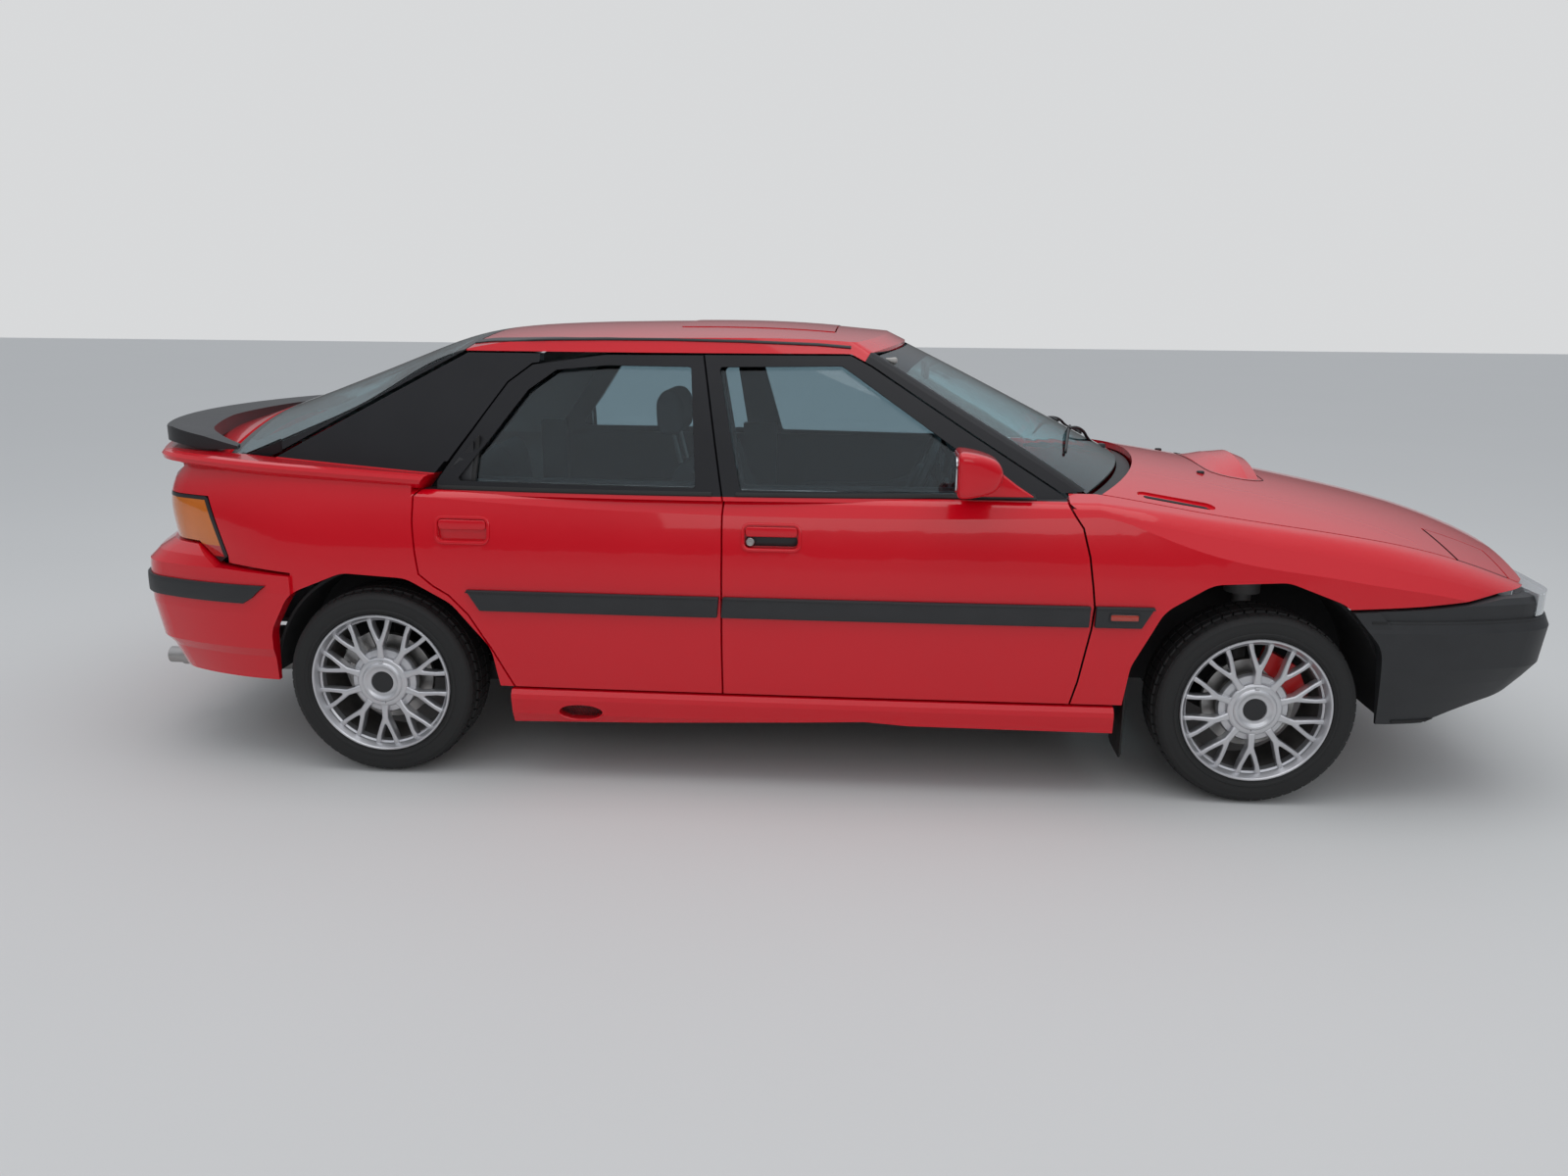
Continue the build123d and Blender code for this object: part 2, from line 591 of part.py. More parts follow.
with BuildPart() as hatch_block:
    add(cabin.part)
    slab(-1800, ROOF_REAR_X - GAP, -900, 900, 860, 1400, mode=Mode.INTERSECT)
    side_cut(HATCH_SIDE, y1=900)
    top_cut(both_sides(HATCH_PLAN))

with BuildPart() as tailgate_glass:
    add(hatch_block.part)
    add(crown.part.moved(Location((0, 0, -GLASS_THICK))), mode=Mode.SUBTRACT)
    slab(GLASS_END_X, -900, -900, 900, 800, 1400, mode=Mode.INTERSECT)
tailgate_glass.part.label = "tailgate_glass"

with BuildPart() as hatch_frame:
    add(hatch_block.part)
    add(crown.part.moved(Location((0, 0, -GLASS_THICK - 0.6))), mode=Mode.INTERSECT)
    add(crown.part.moved(Location((0, 0, -40))), mode=Mode.SUBTRACT)
    top_cut(both_sides(REAR_OPENING), mode=Mode.SUBTRACT)

with BuildPart() as deck:
    extrude(body_outline((HATCH_FOOT_Z, 760, 2062, 1980, 690, -2052, -1868, 640)), amount=300, dir=(0, 0, 1))
    slab(-2200, GLASS_END_X - 1, -622, 622, HATCH_FOOT_Z, 1100, mode=Mode.INTERSECT)
    add(crown.part, mode=Mode.INTERSECT)

with BuildPart() as tailgate:
    add(lip.part)
    slab(-2200, -1600, -HATCH_SIDE_Y, HATCH_SIDE_Y, HATCH_FOOT_Z, 1100, mode=Mode.INTERSECT)
    add(deck.part)
    slab(-1990, -1500, -600, 600, 800, 905, mode=Mode.SUBTRACT)
    slab(-1760, -1500, -900, 900, 800, 1100, mode=Mode.SUBTRACT)
    add(hatch_frame.part)
tailgate.part.label = "tailgate"

# Tail spoiler: a ring blade that meets the lip at both ends and stands on a post in the middle.
SPOILER_Z = (970, 1000)
BLADE_SIDE = [(-1680, 936), (-1690, 944), (-1790, 976), (-1900, 1000), (-2200, 1000), (-2200, 964), (-1990, 964),
              (-1880, 952), (-1800, 938)]

with BuildPart() as spoiler:
    with BuildSketch(Plane.XY.offset(900)):
        with BuildLine():
            ThreePointArc((-1930, -600), (-2085, 0), (-1930, 600))
            Spline((-1930, 600), (-1880, 636), (-1800, 652), (-1696, 640))
            Line((-1696, 640), (-1706, 604))
            Spline((-1706, 604), (-1780, 576), (-1840, 500))
            ThreePointArc((-1840, 500), (-1925, 0), (-1840, -500))
            Spline((-1840, -500), (-1780, -576), (-1706, -604))
            Line((-1706, -604), (-1696, -640))
            Spline((-1696, -640), (-1800, -652), (-1880, -636), (-1930, -600))
        make_face()
    extrude(amount=120)
    side_cut(BLADE_SIDE, y1=900)
    slab(-2004, -1930, -70, 70, 940, 980)
    add(lip.part, mode=Mode.SUBTRACT)
    add(deck.part, mode=Mode.SUBTRACT)
spoiler.part.label = "spoiler"

# Bumpers: their own stacks of outlines round the nose and the tail.
FRONT_BUMPER = [
    # z, side y, nose x, nose corner x, corner y, tail x, tail corner x, corner y
    (246, 800, 2010, 1938, 650, -2030, -1870, 650),
    (312, 812, 2060, 1992, 672, -2030, -1870, 650),
    (367, 820, 2098, 2035, 694, -2030, -1870, 650),
    (410, 825, 2120, 2066, 710, -2030, -1870, 650),
    (515, 829, 2130, 2078, 716, -2030, -1870, 650),
    (546, 823, 2118, 2066, 709, -2030, -1870, 650),
]
FRONT_BAND = [
    (541, 817, 2112, 2058, 704, -2030, -1870, 650),
    (588, 818, 2113, 2059, 705, -2030, -1870, 650),
    (604, 810, 2100, 2046, 697, -2030, -1870, 650),
]
REAR_BUMPER = [
    (272, 796, 2062, 1980, 690, -2064, -1915, 668),
    (345, 806, 2062, 1980, 690, -2090, -1945, 680),
    (372, 818, 2062, 1980, 690, -2112, -1968, 690),
    (480, 826, 2062, 1980, 690, -2130, -1985, 697),
    (545, 829, 2062, 1980, 690, -2130, -1985, 698),
    (610, 828, 2062, 1980, 690, -2124, -1980, 697),
    (640, 824, 2062, 1980, 690, -2104, -1950, 686),
    (676, 806, 2062, 1980, 690, -2062, -1893, 668),
]
FRONT_BUMPER_TOP = [(1380, 100), (2300, 100), (2300, 604), (1903, 604), (1790, 588), (1675, 579), (1474, 569),
                    (1380, 560)]
BUMPER_END = [(1440, 500), (1440, 700), (1524, 700), (1532, 592), (1584, 540), (1600, 500)]
FRONT_LAMP_Y = (312, 726)
FRONT_LAMP_Z = (549, 611)


def ring(levels, fx=1480, rx=-1430):
    for row in levels:
        add(body_outline(row, fx=fx, rx=rx, pull=8))
    loft(ruled=True)


with BuildPart() as front_band:
    ring(FRONT_BAND, fx=1560)
    for side in (-1, 1):
        slab(2004, 2200, side * (FRONT_LAMP_Y[0] - 3), side * FRONT_LAMP_Y[1], 500, 700, mode=Mode.SUBTRACT)

with BuildPart() as bumper_ends:
    extrude(body_outline((500, 827, 2124, 2072, 712, -2030, -1870, 650), fx=1560, pull=8), amount=110,
            dir=(0, 0, 1))
    side_cut(BUMPER_END, y1=900)

with BuildPart() as front_bumper:
    ring(FRONT_BUMPER, fx=1560)
    add(front_band.part)
    add(bumper_ends.part)
    side_cut(FRONT_BUMPER_TOP, y1=900)
    extrude(body_outline((100, 790, 2076, 2018, 668, -2030, -1870, 620), fx=1560, pull=8), amount=700,
            dir=(0, 0, 1), mode=Mode.SUBTRACT)
    slab(1900, 2200, -500, 500, 330, 420, mode=Mode.SUBTRACT)
    for z in (352, 375, 398):
        slab(2040, 2112, -504, 504, z - 3, z + 3)
    slab(2040, 2100, -8, 8, 330, 420)
    arch_cut(FRONT_ARCH, y1=900)
front_bumper.part.label = "front_bumper"

with BuildPart() as rear_bumper:
    ring(REAR_BUMPER, rx=-1480)
    side_cut([(-1484, 100), (-2200, 100), (-2200, 671), (-1794, 668), (-1718, 613), (-1484, 596)], y1=900)
    extrude(body_outline((100, 780, 2062, 1980, 690, -2072, -1905, 640), rx=-1480, pull=8), amount=548,
            dir=(0, 0, 1), mode=Mode.SUBTRACT)
    extrude(body_outline((600, 780, 2062, 1980, 690, -2040, -1870, 640), rx=-1480, pull=8), amount=100,
            dir=(0, 0, 1), mode=Mode.SUBTRACT)
    arch_cut(REAR_ARCH, y1=900)
rear_bumper.part.label = "rear_bumper"

# Front side lamps under the corners of the bonnet, between it and the bumper.
with BuildPart() as front_lamps:
    extrude(body_outline((FRONT_LAMP_Z[0], 815, 2118, 2064, 706, -2030, -1870, 650), fx=1560, pull=8),
            amount=FRONT_LAMP_Z[1] - FRONT_LAMP_Z[0], dir=(0, 0, 1))
    extrude(body_outline((500, 740, 2066, 2006, 650, -2030, -1870, 620), fx=1560, pull=8), amount=200,
            dir=(0, 0, 1), mode=Mode.SUBTRACT)
    slab(2008, 2200, -900, 900, 500, 700, mode=Mode.INTERSECT)
    slab(1900, 2200, -FRONT_LAMP_Y[0], FRONT_LAMP_Y[0], 500, 700, mode=Mode.SUBTRACT)
front_lamps.part.label = "front_lamps"

# Sill skirts between the arches.
SKIRT_LEVELS = [
    (172, 806, 2062, 1980, 690, -2030, -1870, 650),
    (206, 824, 2062, 1980, 690, -2030, -1870, 650),
    (252, 834, 2062, 1980, 690, -2030, -1870, 650),
    (266, 833, 2062, 1980, 690, -2030, -1870, 650),
    (278, 822, 2062, 1980, 690, -2030, -1870, 650),
]
SKIRT_SIDE = [(-846, 285), (868, 285), (870, 203), (298, 206), (175, 215), (-453, 186), (-846, 174)]
DUCT_AT = (-644, 216)

with BuildPart() as side_skirts:
    for row in SKIRT_LEVELS:
        add(body_outline(row, pull=14))
    loft(ruled=True)
    side_cut(SKIRT_SIDE, y1=900)
    slab(-1000, 1000, -745, 745, 100, 400, mode=Mode.SUBTRACT)
    for side in (-1, 1):
        with BuildSketch(side_plane(side * 770), mode=Mode.PRIVATE) as duct:
            with Locations(DUCT_AT):
                Ellipse(64, 23)
        extrude(duct.sketch, amount=100, dir=(0, side, 0), mode=Mode.SUBTRACT)
side_skirts.part.label = "side_skirts"

# Lamps: two covers with round-fronted housings that turn up out of the bonnet about their rear edge.
with BuildPart() as lamp_house:
    lamp_drum(LAMP_R, LAMP_REAR_X, -LAMP_HOUSE_Y[1], -LAMP_HOUSE_Y[0], Mode.ADD, low=-62, high=40)
    add(nose_hull.part, mode=Mode.INTERSECT)

with BuildPart() as right_popup:
    add(nose_hull.part)
    add(nose_hull.part.moved(Location((0, 0, -12))), mode=Mode.SUBTRACT)
    lamp_drum(LAMP_R, LAMP_REAR_X, -900, -LAMP_INNER_Y, Mode.INTERSECT)
    bonnet_plan()
    add(lamp_house.part)
right_popup.part.label = "right_popup_lamp"
left_popup = mirrored(right_popup.part, "left_popup_lamp")

# Floor, sills, tunnel, wheel housings, posts and the inner ring round the side windows.
FLOOR_Z = 218
FLOOR_SECTION = [
    (-700, 204), (-700, 300), (-620, 300), (-620, FLOOR_Z), (-130, FLOOR_Z), (-130, 360), (130, 360),
    (130, FLOOR_Z), (620, FLOOR_Z), (620, 300), (700, 300), (700, 204), (116, 204), (116, 346), (-116, 346),
    (-116, 204),
]
REAR_FLOOR = [
    (-760, 204), (-774, 204), (-774, 326), (-1494, 326), (-1494, 381), (-1930, 381), (-1930, 596), (-1916, 596),
    (-1916, 395), (-1480, 395), (-1480, 340), (-760, 340),
]
HOUSINGS = [
    # centre x, radius, inner y, lowest z
    (FRONT_AXLE_X - 10, 378, 440, 250),
    (REAR_AXLE_X, 340, 520, 290),
]
RING_OUT, RING_IN = 63, 80
RING_OUTLINE = [(684, 858), (423, 1023), (159, 1193), (100, 1224), (-586, 1222), (-796, 1193), (-864, 1143),
                (-962, 1009), (-1067, 872), (-1067, 858)]
HOUSING_END_Y = 745
TOW_EYES = [
    # x, y, eye z, top z
    (1905, -358, 236, 334),
    (-1890, 394, 256, 384),
]
POSTS = [
    # x from, to, y from, to, z from, to
    (700, 850, 600, 695, 290, 770),
    (-330, -200, 650, 703, 290, 900),
    (-1140, -1040, 640, 686, 575, 900),
]


def side_disc(x, radius, y0, y1, low, mode):
    with BuildSketch(side_plane(y0), mode=Mode.PRIVATE) as disc:
        with Locations((x, WHEEL_Z)):
            Circle(radius)
        with Locations((x, low - 500)):
            Rectangle(1000, 1000, mode=Mode.SUBTRACT)
    extrude(disc.sketch, amount=abs(y1 - y0), dir=(0, 1 if y1 > y0 else -1, 0), mode=mode)


with BuildPart() as inner_ring:
    add(cabin_side.part.moved(Location((0, RING_OUT, 0))))
    add(cabin.part.moved(Location((0, RING_IN, 0))), mode=Mode.SUBTRACT)
    lean_cut(RING_OUTLINE, depth=400, grow=4.5)
    slab(-1200, 900, -900, 0, 858, 1300, mode=Mode.INTERSECT)
    lean_cut(FRONT_WINDOW, depth=400, mode=Mode.SUBTRACT, grow=-6, round_by=20)
    lean_cut(REAR_WINDOW, depth=400, mode=Mode.SUBTRACT, grow=-6, round_by=20)

with BuildPart() as body_frame:
    cross_cut(FLOOR_SECTION, -760, 850)
    run_outline(side_plane(-540), REAR_FLOOR, Vector(0, 1080, 0), Mode.ADD)
    slab(836, 850, -700, 700, FLOOR_Z, 770)
    slab(1930, 1960, -600, 600, 330, 520)
    for side in (-1, 1):
        slab(-774, -760, side * 500, side * 700, FLOOR_Z - 14, 340)
        slab(840, 1960, side * 330, side * 375, 330, 420)
        slab(1150, 1350, side * 370, side * 442, 380, 640)
        for x0, x1, y0, y1, z0, z1 in POSTS:
            slab(x0, x1, side * y0, side * y1, z0, z1)
        for x, radius, inner_y, low in HOUSINGS:
            side_disc(x, radius, side * inner_y, side * HOUSING_END_Y, low, Mode.ADD)
            side_disc(x, radius - 8, side * (inner_y + 8), side * 800, low - 50, Mode.SUBTRACT)
    for x, y, eye_z, top_z in TOW_EYES:
        with BuildSketch(side_plane(y + 12), mode=Mode.PRIVATE) as eye:
            with Locations((x, (eye_z + top_z) / 2)):
                Rectangle(40, top_z - eye_z)
            with Locations((x, eye_z)):
                Circle(28)
                Circle(15, mode=Mode.SUBTRACT)
        extrude(eye.sketch, amount=12, dir=(0, -1, 0))
    add(inner_ring.part)
    mirror(inner_ring.part, about=Plane.XZ)
body_frame.part.label = "body_frame"

# Wheels: a tyre of many flats, and a rim with ten forked spokes round a capped hub.
TYRE_SIDES = 96
TYRE_RINGS = [(-98, 262), (-82, TYRE_R), (82, TYRE_R), (98, 262)]
RIM_LINE = [(207, 97), (207, 86), (192, 78), (192, -86), (207, -96), (184, -96), (184, 70), (199, 97)]
HUB_LINE = [(0, 40), (98, 40), (98, 66), (75.5, 68), (75.5, 80), (57, 84), (34, 80), (0, 80)]
SPOKE = [(60, -9), (112, -8.5), (189, -35), (189, -23), (130, 0), (189, 23), (189, 35), (112, 8.5), (60, 9)]
SPOKE_Y = (52, 76)
WHEELS = [
    # name, axle x, y
    ("front_right", FRONT_AXLE_X, -TRACK_HALF),
    ("front_left", FRONT_AXLE_X, TRACK_HALF),
    ("rear_right", REAR_AXLE_X, -TRACK_HALF),
    ("rear_left", REAR_AXLE_X, TRACK_HALF),
]


with BuildSketch() as spoke:
    with BuildLine():
        Polyline(*SPOKE, close=True)
    make_face()


def turned(points, x, y, side):
    with BuildSketch(Plane((x, y, WHEEL_Z), x_dir=(1, 0, 0), z_dir=(0, 0, 1)), mode=Mode.PRIVATE) as sk:
        with BuildLine():
            Polyline(*[(r, side * across) for r, across in points], close=True)
        make_face()
    revolve(sk.sketch, axis=Axis((x, y, WHEEL_Z), (0, 1, 0)))


wheel_parts = []
for name, x, y in WHEELS:
    side = 1 if y > 0 else -1
    with BuildPart() as tyre:
        for across, radius in TYRE_RINGS:
            with BuildSketch(Plane((x, y + across, WHEEL_Z), x_dir=(1, 0, 0), z_dir=(0, 1, 0))):
                RegularPolygon(radius, TYRE_SIDES)
        loft(ruled=True)
        with BuildSketch(Plane((x, y - 120, WHEEL_Z), x_dir=(1, 0, 0), z_dir=(0, 1, 0))):
            RegularPolygon(208, TYRE_SIDES)
        extrude(amount=240, mode=Mode.SUBTRACT)
    tyre.part.label = name + "_tyre"
    with BuildPart() as wheel:
        turned(RIM_LINE, x, y, side)
        turned(HUB_LINE, x, y, side)
        with BuildSketch(Plane((x, y + side * SPOKE_Y[0], WHEEL_Z), x_dir=(1, 0, 0), z_dir=(0, side, 0))):
            with PolarLocations(0, 10):
                add(spoke.sketch)
        extrude(amount=SPOKE_Y[1] - SPOKE_Y[0])
    wheel.part.label = name + "_wheel"
    wheel_parts += [tyre.part, wheel.part]

# Front hub carriers: brake disc, calliper, hub, leg and the strut that turns with them.
DISC_R, DISC_Y = 128, (-4, 14)
CALLIPER = (84, 160, 12, 74)


def brake(x, y, side, calliper):
    low, high, from_angle, to_angle = calliper
    for radius, y0, y1 in [(DISC_R, *DISC_Y), (68, -4, 33), (44, -70, -4)]:
        side_disc(x, radius, y + side * y0, y + side * y1, WHEEL_Z - 600, Mode.ADD)
    corners = [(r * cos(radians(a)), r * sin(radians(a)))
               for r, a in [(low, from_angle), (high, from_angle), (high + 6, (from_angle + to_angle) / 2),
                            (high, to_angle), (low, to_angle)]]
    run_outline(Plane((x, y - side * 34, WHEEL_Z), x_dir=(1, 0, 0), z_dir=(0, -1, 0)), corners,
                Vector(0, side * 66, 0), Mode.ADD)


with BuildPart() as right_knuckle:
    brake(FRONT_AXLE_X, -TRACK_HALF, -1, CALLIPER)
    slab(FRONT_AXLE_X - 26, FRONT_AXLE_X + 26, -TRACK_HALF + 66, -600, 198, 336)
    slab(FRONT_AXLE_X - 24, FRONT_AXLE_X + 24, -612, -556, 300, 350)
    with Locations((FRONT_AXLE_X, -580, 455)):
        Cylinder(26, 290)
    with Locations((FRONT_AXLE_X, -578, 600)):
        Cylinder(50, 66)
right_knuckle.part.label = "front_right_knuckle"
left_knuckle = mirrored(right_knuckle.part, "front_left_knuckle")

# Arms and subframe in front; the beam, its trailing arms, dampers and brakes behind.
LOWER_ARM = [(-150, 280), (40, 280), (24, 583), (-30, 583), (-90, 420)]

with BuildPart() as suspension:
    slab(FRONT_AXLE_X - 170, FRONT_AXLE_X + 60, -300, 300, 160, 225)
    slab(REAR_AXLE_X + 20, REAR_AXLE_X + 80, -560, 560, 236, 290)
    for side in (-1, 1):
        top_cut([(FRONT_AXLE_X + x, side * y) for x, y in LOWER_ARM], z0=176, z1=200, mode=Mode.ADD)
        brake(REAR_AXLE_X, side * TRACK_HALF, side, (78, 146, 110, 160))
        slab(REAR_AXLE_X - 40, REAR_AXLE_X + 320, side * 540, side * 600, 232, 292)
        slab(REAR_AXLE_X - 40, REAR_AXLE_X + 40, side * 590, side * 660, 240, 318)
        with Locations((REAR_AXLE_X - 20, side * 566, 425)):
            Cylinder(30, 300)
suspension.part.label = "suspension"

# One plain block stands for the engine and gearbox.
with BuildPart() as engine_block:
    slab(1010, 1480, -310, 310, 240, 690)
engine_block.part.label = "engine_block"

with BuildPart() as fuel_tank:
    slab(-1080, -800, 0, 470, 170, 318)
fuel_tank.part.label = "fuel_tank"

with BuildPart() as exhaust:
    with BuildLine() as run:
        FilletPolyline((980, 0, 182), (-740, 0, 178), (-960, -230, 178), (-1380, -230, 178), (-1640, -430, 232),
                       (-1700, -430, 232), radius=70)
    with BuildSketch(Plane(run.line @ 0, z_dir=run.line % 0)):
        Circle(21)
    sweep()
    with Locations(Location((-1820, -430, 262), (0, 90, 0))):
        Cylinder(72, 300)
    with Locations(Location((-2020, -430, 226), (0, 90, 0))):
        Cylinder(26, 180)
exhaust.part.label = "exhaust"


# Cabin furniture, drawn in side view and run across.
def across(outline, y0, y1, round_by=0.0, above=0):
    run_outline(side_plane(y1), outline, Vector(0, y0 - y1, 0), Mode.ADD, 0.0, round_by, lambda v: v.Y > above)


STEER_AT = (345, 370, 735)
STEER_TILT = 65
DASH = [(800, 770), (740, 806), (600, 832), (500, 826), (452, 790), (440, 700), (476, 600), (560, 520), (800, 500)]
CONSOLE = [(470, 362), (470, 560), (400, 520), (120, 470), (-250, 470), (-260, 362)]
SEAT = [(250, 250), (262, 350), (225, 425), (120, 432), (-150, 392), (-190, 415), (-345, 905), (-392, 930),
        (-445, 905), (-452, 860), (-330, 400), (-290, 250)]
HEADREST = [(-468, 978), (-482, 1096), (-452, 1128), (-402, 1118), (-380, 990), (-410, 962)]
HEADREST_POST = [(-424, 900), (-438, 990), (-424, 990), (-410, 900)]
BENCH = [(-610, 364), (-596, 430), (-640, 466), (-960, 442), (-1006, 470), (-1150, 860), (-1190, 884),
         (-1236, 862), (-1240, 820), (-1120, 342), (-770, 342), (-770, 364)]

with BuildPart() as dashboard:
    across(DASH, -600, 600)
    across(CONSOLE, -96, 96)
    with BuildSketch(Plane((470, 370, 770), x_dir=(0, 1, 0), z_dir=(-cos(radians(25)), 0, sin(radians(25))))):
        RectangleRounded(300, 110, 30)
    extrude(amount=30)
    with Locations(Location((STEER_AT[0] + 80, STEER_AT[1], STEER_AT[2] - 37), (0, -STEER_TILT, 0))):
        Cylinder(32, 90)
dashboard.part.label = "dashboard"

with BuildPart() as seats:
    for y in (-370, 370):
        across(SEAT, y - 225, y + 225, 14)
        across(HEADREST, y - 125, y + 125, 12)
        for dy in (-60, 60):
            across(HEADREST_POST, y + dy - 6, y + dy + 6)
    across(BENCH, -495, 495, 14, above=400)
seats.part.label = "seats"

with BuildPart() as level_wheel:
    with BuildSketch(Plane.XZ):
        with Locations((172, 0)):
            RegularPolygon(15, 8)
    revolve(axis=Axis.Z)
    with Locations((0, 0, -14)):
        Cylinder(52, 44)
    with Locations((0, 0, -8)):
        for turn in (0, 180, 250, 290):
            with Locations(Rotation(0, 0, turn - 90)):
                with Locations((104, 0, 0)):
                    Box(124, 32, 12)

with BuildPart() as steering_wheel:
    with Locations(Location(STEER_AT, (0, -STEER_TILT, 0))):
        add(level_wheel.part)
steering_wheel.part.label = "steering_wheel"

# Cowl below the windscreen.
with BuildPart() as cowl_low:
    add(side_hull.part.moved(Location((0, 0, -24))))
    add(nose_hull.part.moved(Location((0, 0, -24))))

with BuildPart() as cowl:
    add(cowl_low.part)
    slab(700, 1100, -690, 690, 790, 1000, mode=Mode.INTERSECT)
    ahead_of(966, 766, 700)
    ahead_of(1006, 812, 697, mode=Mode.SUBTRACT)
    add(cowl_low.part.moved(Location((0, 0, -12))), mode=Mode.SUBTRACT)
cowl.part.label = "cowl"

# Door mirrors, growing out of the front corner of the door frame.
MIRROR_RINGS = [
    # y, centre x, centre z, length, height
    (-772, 530, 905, 96, 40),
    (-842, 524, 918, 116, 60),
    (-866, 486, 942, 214, 120),
    (-930, 480, 944, 222, 122),
    (-986, 484, 944, 186, 100),
]

with BuildPart() as right_mirror:
    for y, cx, cz, long, high in MIRROR_RINGS:
        with BuildSketch(side_plane(y)):
            with Locations((cx, cz)):
                RectangleRounded(long, high, high * 0.3)
    loft(ruled=True)
    add(cabin.part, mode=Mode.SUBTRACT)
right_mirror.part.label = "right_mirror"
left_mirror = mirrored(right_mirror.part, "left_mirror")

for piece in wheel_parts + [
    right_front_door, right_rear_door, left_front_door, left_rear_door, right_front_glass, right_rear_glass,
    left_front_glass, left_rear_glass, windscreen.part, roof.part, sunroof.part, bonnet.part, front_wings.part,
    tailgate.part, tailgate_glass.part, front_bumper.part, rear_bumper.part, side_skirts.part, right_popup.part,
    left_popup, tail_lamps.part, body_frame.part, right_knuckle.part, left_knuckle, suspension.part,
    engine_block.part, fuel_tank.part, exhaust.part, dashboard.part, seats.part, steering_wheel.part, cowl.part,
    right_mirror.part, left_mirror, spoiler.part, front_lamps.part, rear_quarters.part,
]:
    export_step(piece, "parts/" + piece.label + ".step")
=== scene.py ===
import math

import bpy
from mathutils import Matrix, Vector
from mathutils.bvhtree import BVHTree


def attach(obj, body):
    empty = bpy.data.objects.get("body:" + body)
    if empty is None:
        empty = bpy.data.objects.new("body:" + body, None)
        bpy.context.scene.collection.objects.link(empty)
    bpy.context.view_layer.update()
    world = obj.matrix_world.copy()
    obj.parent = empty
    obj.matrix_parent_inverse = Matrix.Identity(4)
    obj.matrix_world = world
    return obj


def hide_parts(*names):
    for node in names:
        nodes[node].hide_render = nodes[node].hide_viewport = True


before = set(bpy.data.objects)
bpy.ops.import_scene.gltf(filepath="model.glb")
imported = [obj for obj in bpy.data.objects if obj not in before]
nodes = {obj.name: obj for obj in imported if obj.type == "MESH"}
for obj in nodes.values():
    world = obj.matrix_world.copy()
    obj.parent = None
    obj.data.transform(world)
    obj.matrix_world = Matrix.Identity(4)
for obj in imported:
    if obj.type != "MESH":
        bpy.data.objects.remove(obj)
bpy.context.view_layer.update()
print("frame loaded:", len(nodes), "nodes")


# Materials. A look is a base finish, and areas can be painted over it. An area is a list of parts, and a
# part a list of half spaces that all hold. "place" is the position and "facing" the surface direction,
# both with the right side folded onto the left, so one area serves both sides.
def link(tree, fromSocket, toSocket):
    tree.links.new(fromSocket, toSocket)


def mathNode(tree, operation, a, b=None):
    step = tree.nodes.new("ShaderNodeMath")
    step.operation = operation
    for socket, value in zip(step.inputs, (a, b)):
        if value is not None:
            link(tree, value, socket)
    return step.outputs[0]


def mixNode(tree, factor, a, b, kind="RGBA"):
    mix = tree.nodes.new("ShaderNodeMix")
    mix.data_type = kind
    colour = kind == "RGBA"
    first, second, result = (6, 7, 2) if colour else (2, 3, 0)  # the sockets of this kind of mix
    link(tree, factor, mix.inputs[0])
    for place, value in ((first, a), (second, b)):
        if isinstance(value, bpy.types.NodeSocket):
            link(tree, value, mix.inputs[place])
        else:
            mix.inputs[place].default_value = (*value, 1) if colour else value
    return mix.outputs[result]


def foldedVectors(tree):
    coord = tree.nodes.new("ShaderNodeTexCoord")
    geo = tree.nodes.new("ShaderNodeNewGeometry")
    where = tree.nodes.new("ShaderNodeSeparateXYZ")
    link(tree, coord.outputs["Object"], where.inputs[0])
    turn = tree.nodes.new("ShaderNodeSeparateXYZ")
    link(tree, geo.outputs["Normal"], turn.inputs[0])
    place = tree.nodes.new("ShaderNodeCombineXYZ")
    facing = tree.nodes.new("ShaderNodeCombineXYZ")
    sign = mathNode(tree, "SIGN", where.outputs[1])
    for into, source, y in (
        (place, where, mathNode(tree, "ABSOLUTE", where.outputs[1])),
        (facing, turn, mathNode(tree, "MULTIPLY", turn.outputs[1], sign)),
    ):
        link(tree, source.outputs[0], into.inputs[0])
        link(tree, y, into.inputs[1])
        link(tree, source.outputs[2], into.inputs[2])
    return coord.outputs["Object"], place.outputs[0], facing.outputs[0]


def areaMask(tree, place, facing, clauses, soft=0.0008):
    whole = None
    for clause in clauses:
        part = None
        for what, vector, limit in clause:
            along = tree.nodes.new("ShaderNodeVectorMath")
            along.operation = "DOT_PRODUCT"
            link(tree, place if what == "place" else facing, along.inputs[0])
            along.inputs[1].default_value = vector
            edge = tree.nodes.new("ShaderNodeMapRange")
            link(tree, along.outputs["Value"], edge.inputs[0])
            edge.inputs[1].default_value = limit - soft
            edge.inputs[2].default_value = limit + soft
            part = edge.outputs[0] if part is None else mathNode(tree, "MULTIPLY", part, edge.outputs[0])
        whole = part if whole is None else mathNode(tree, "MAXIMUM", whole, part)
    return whole


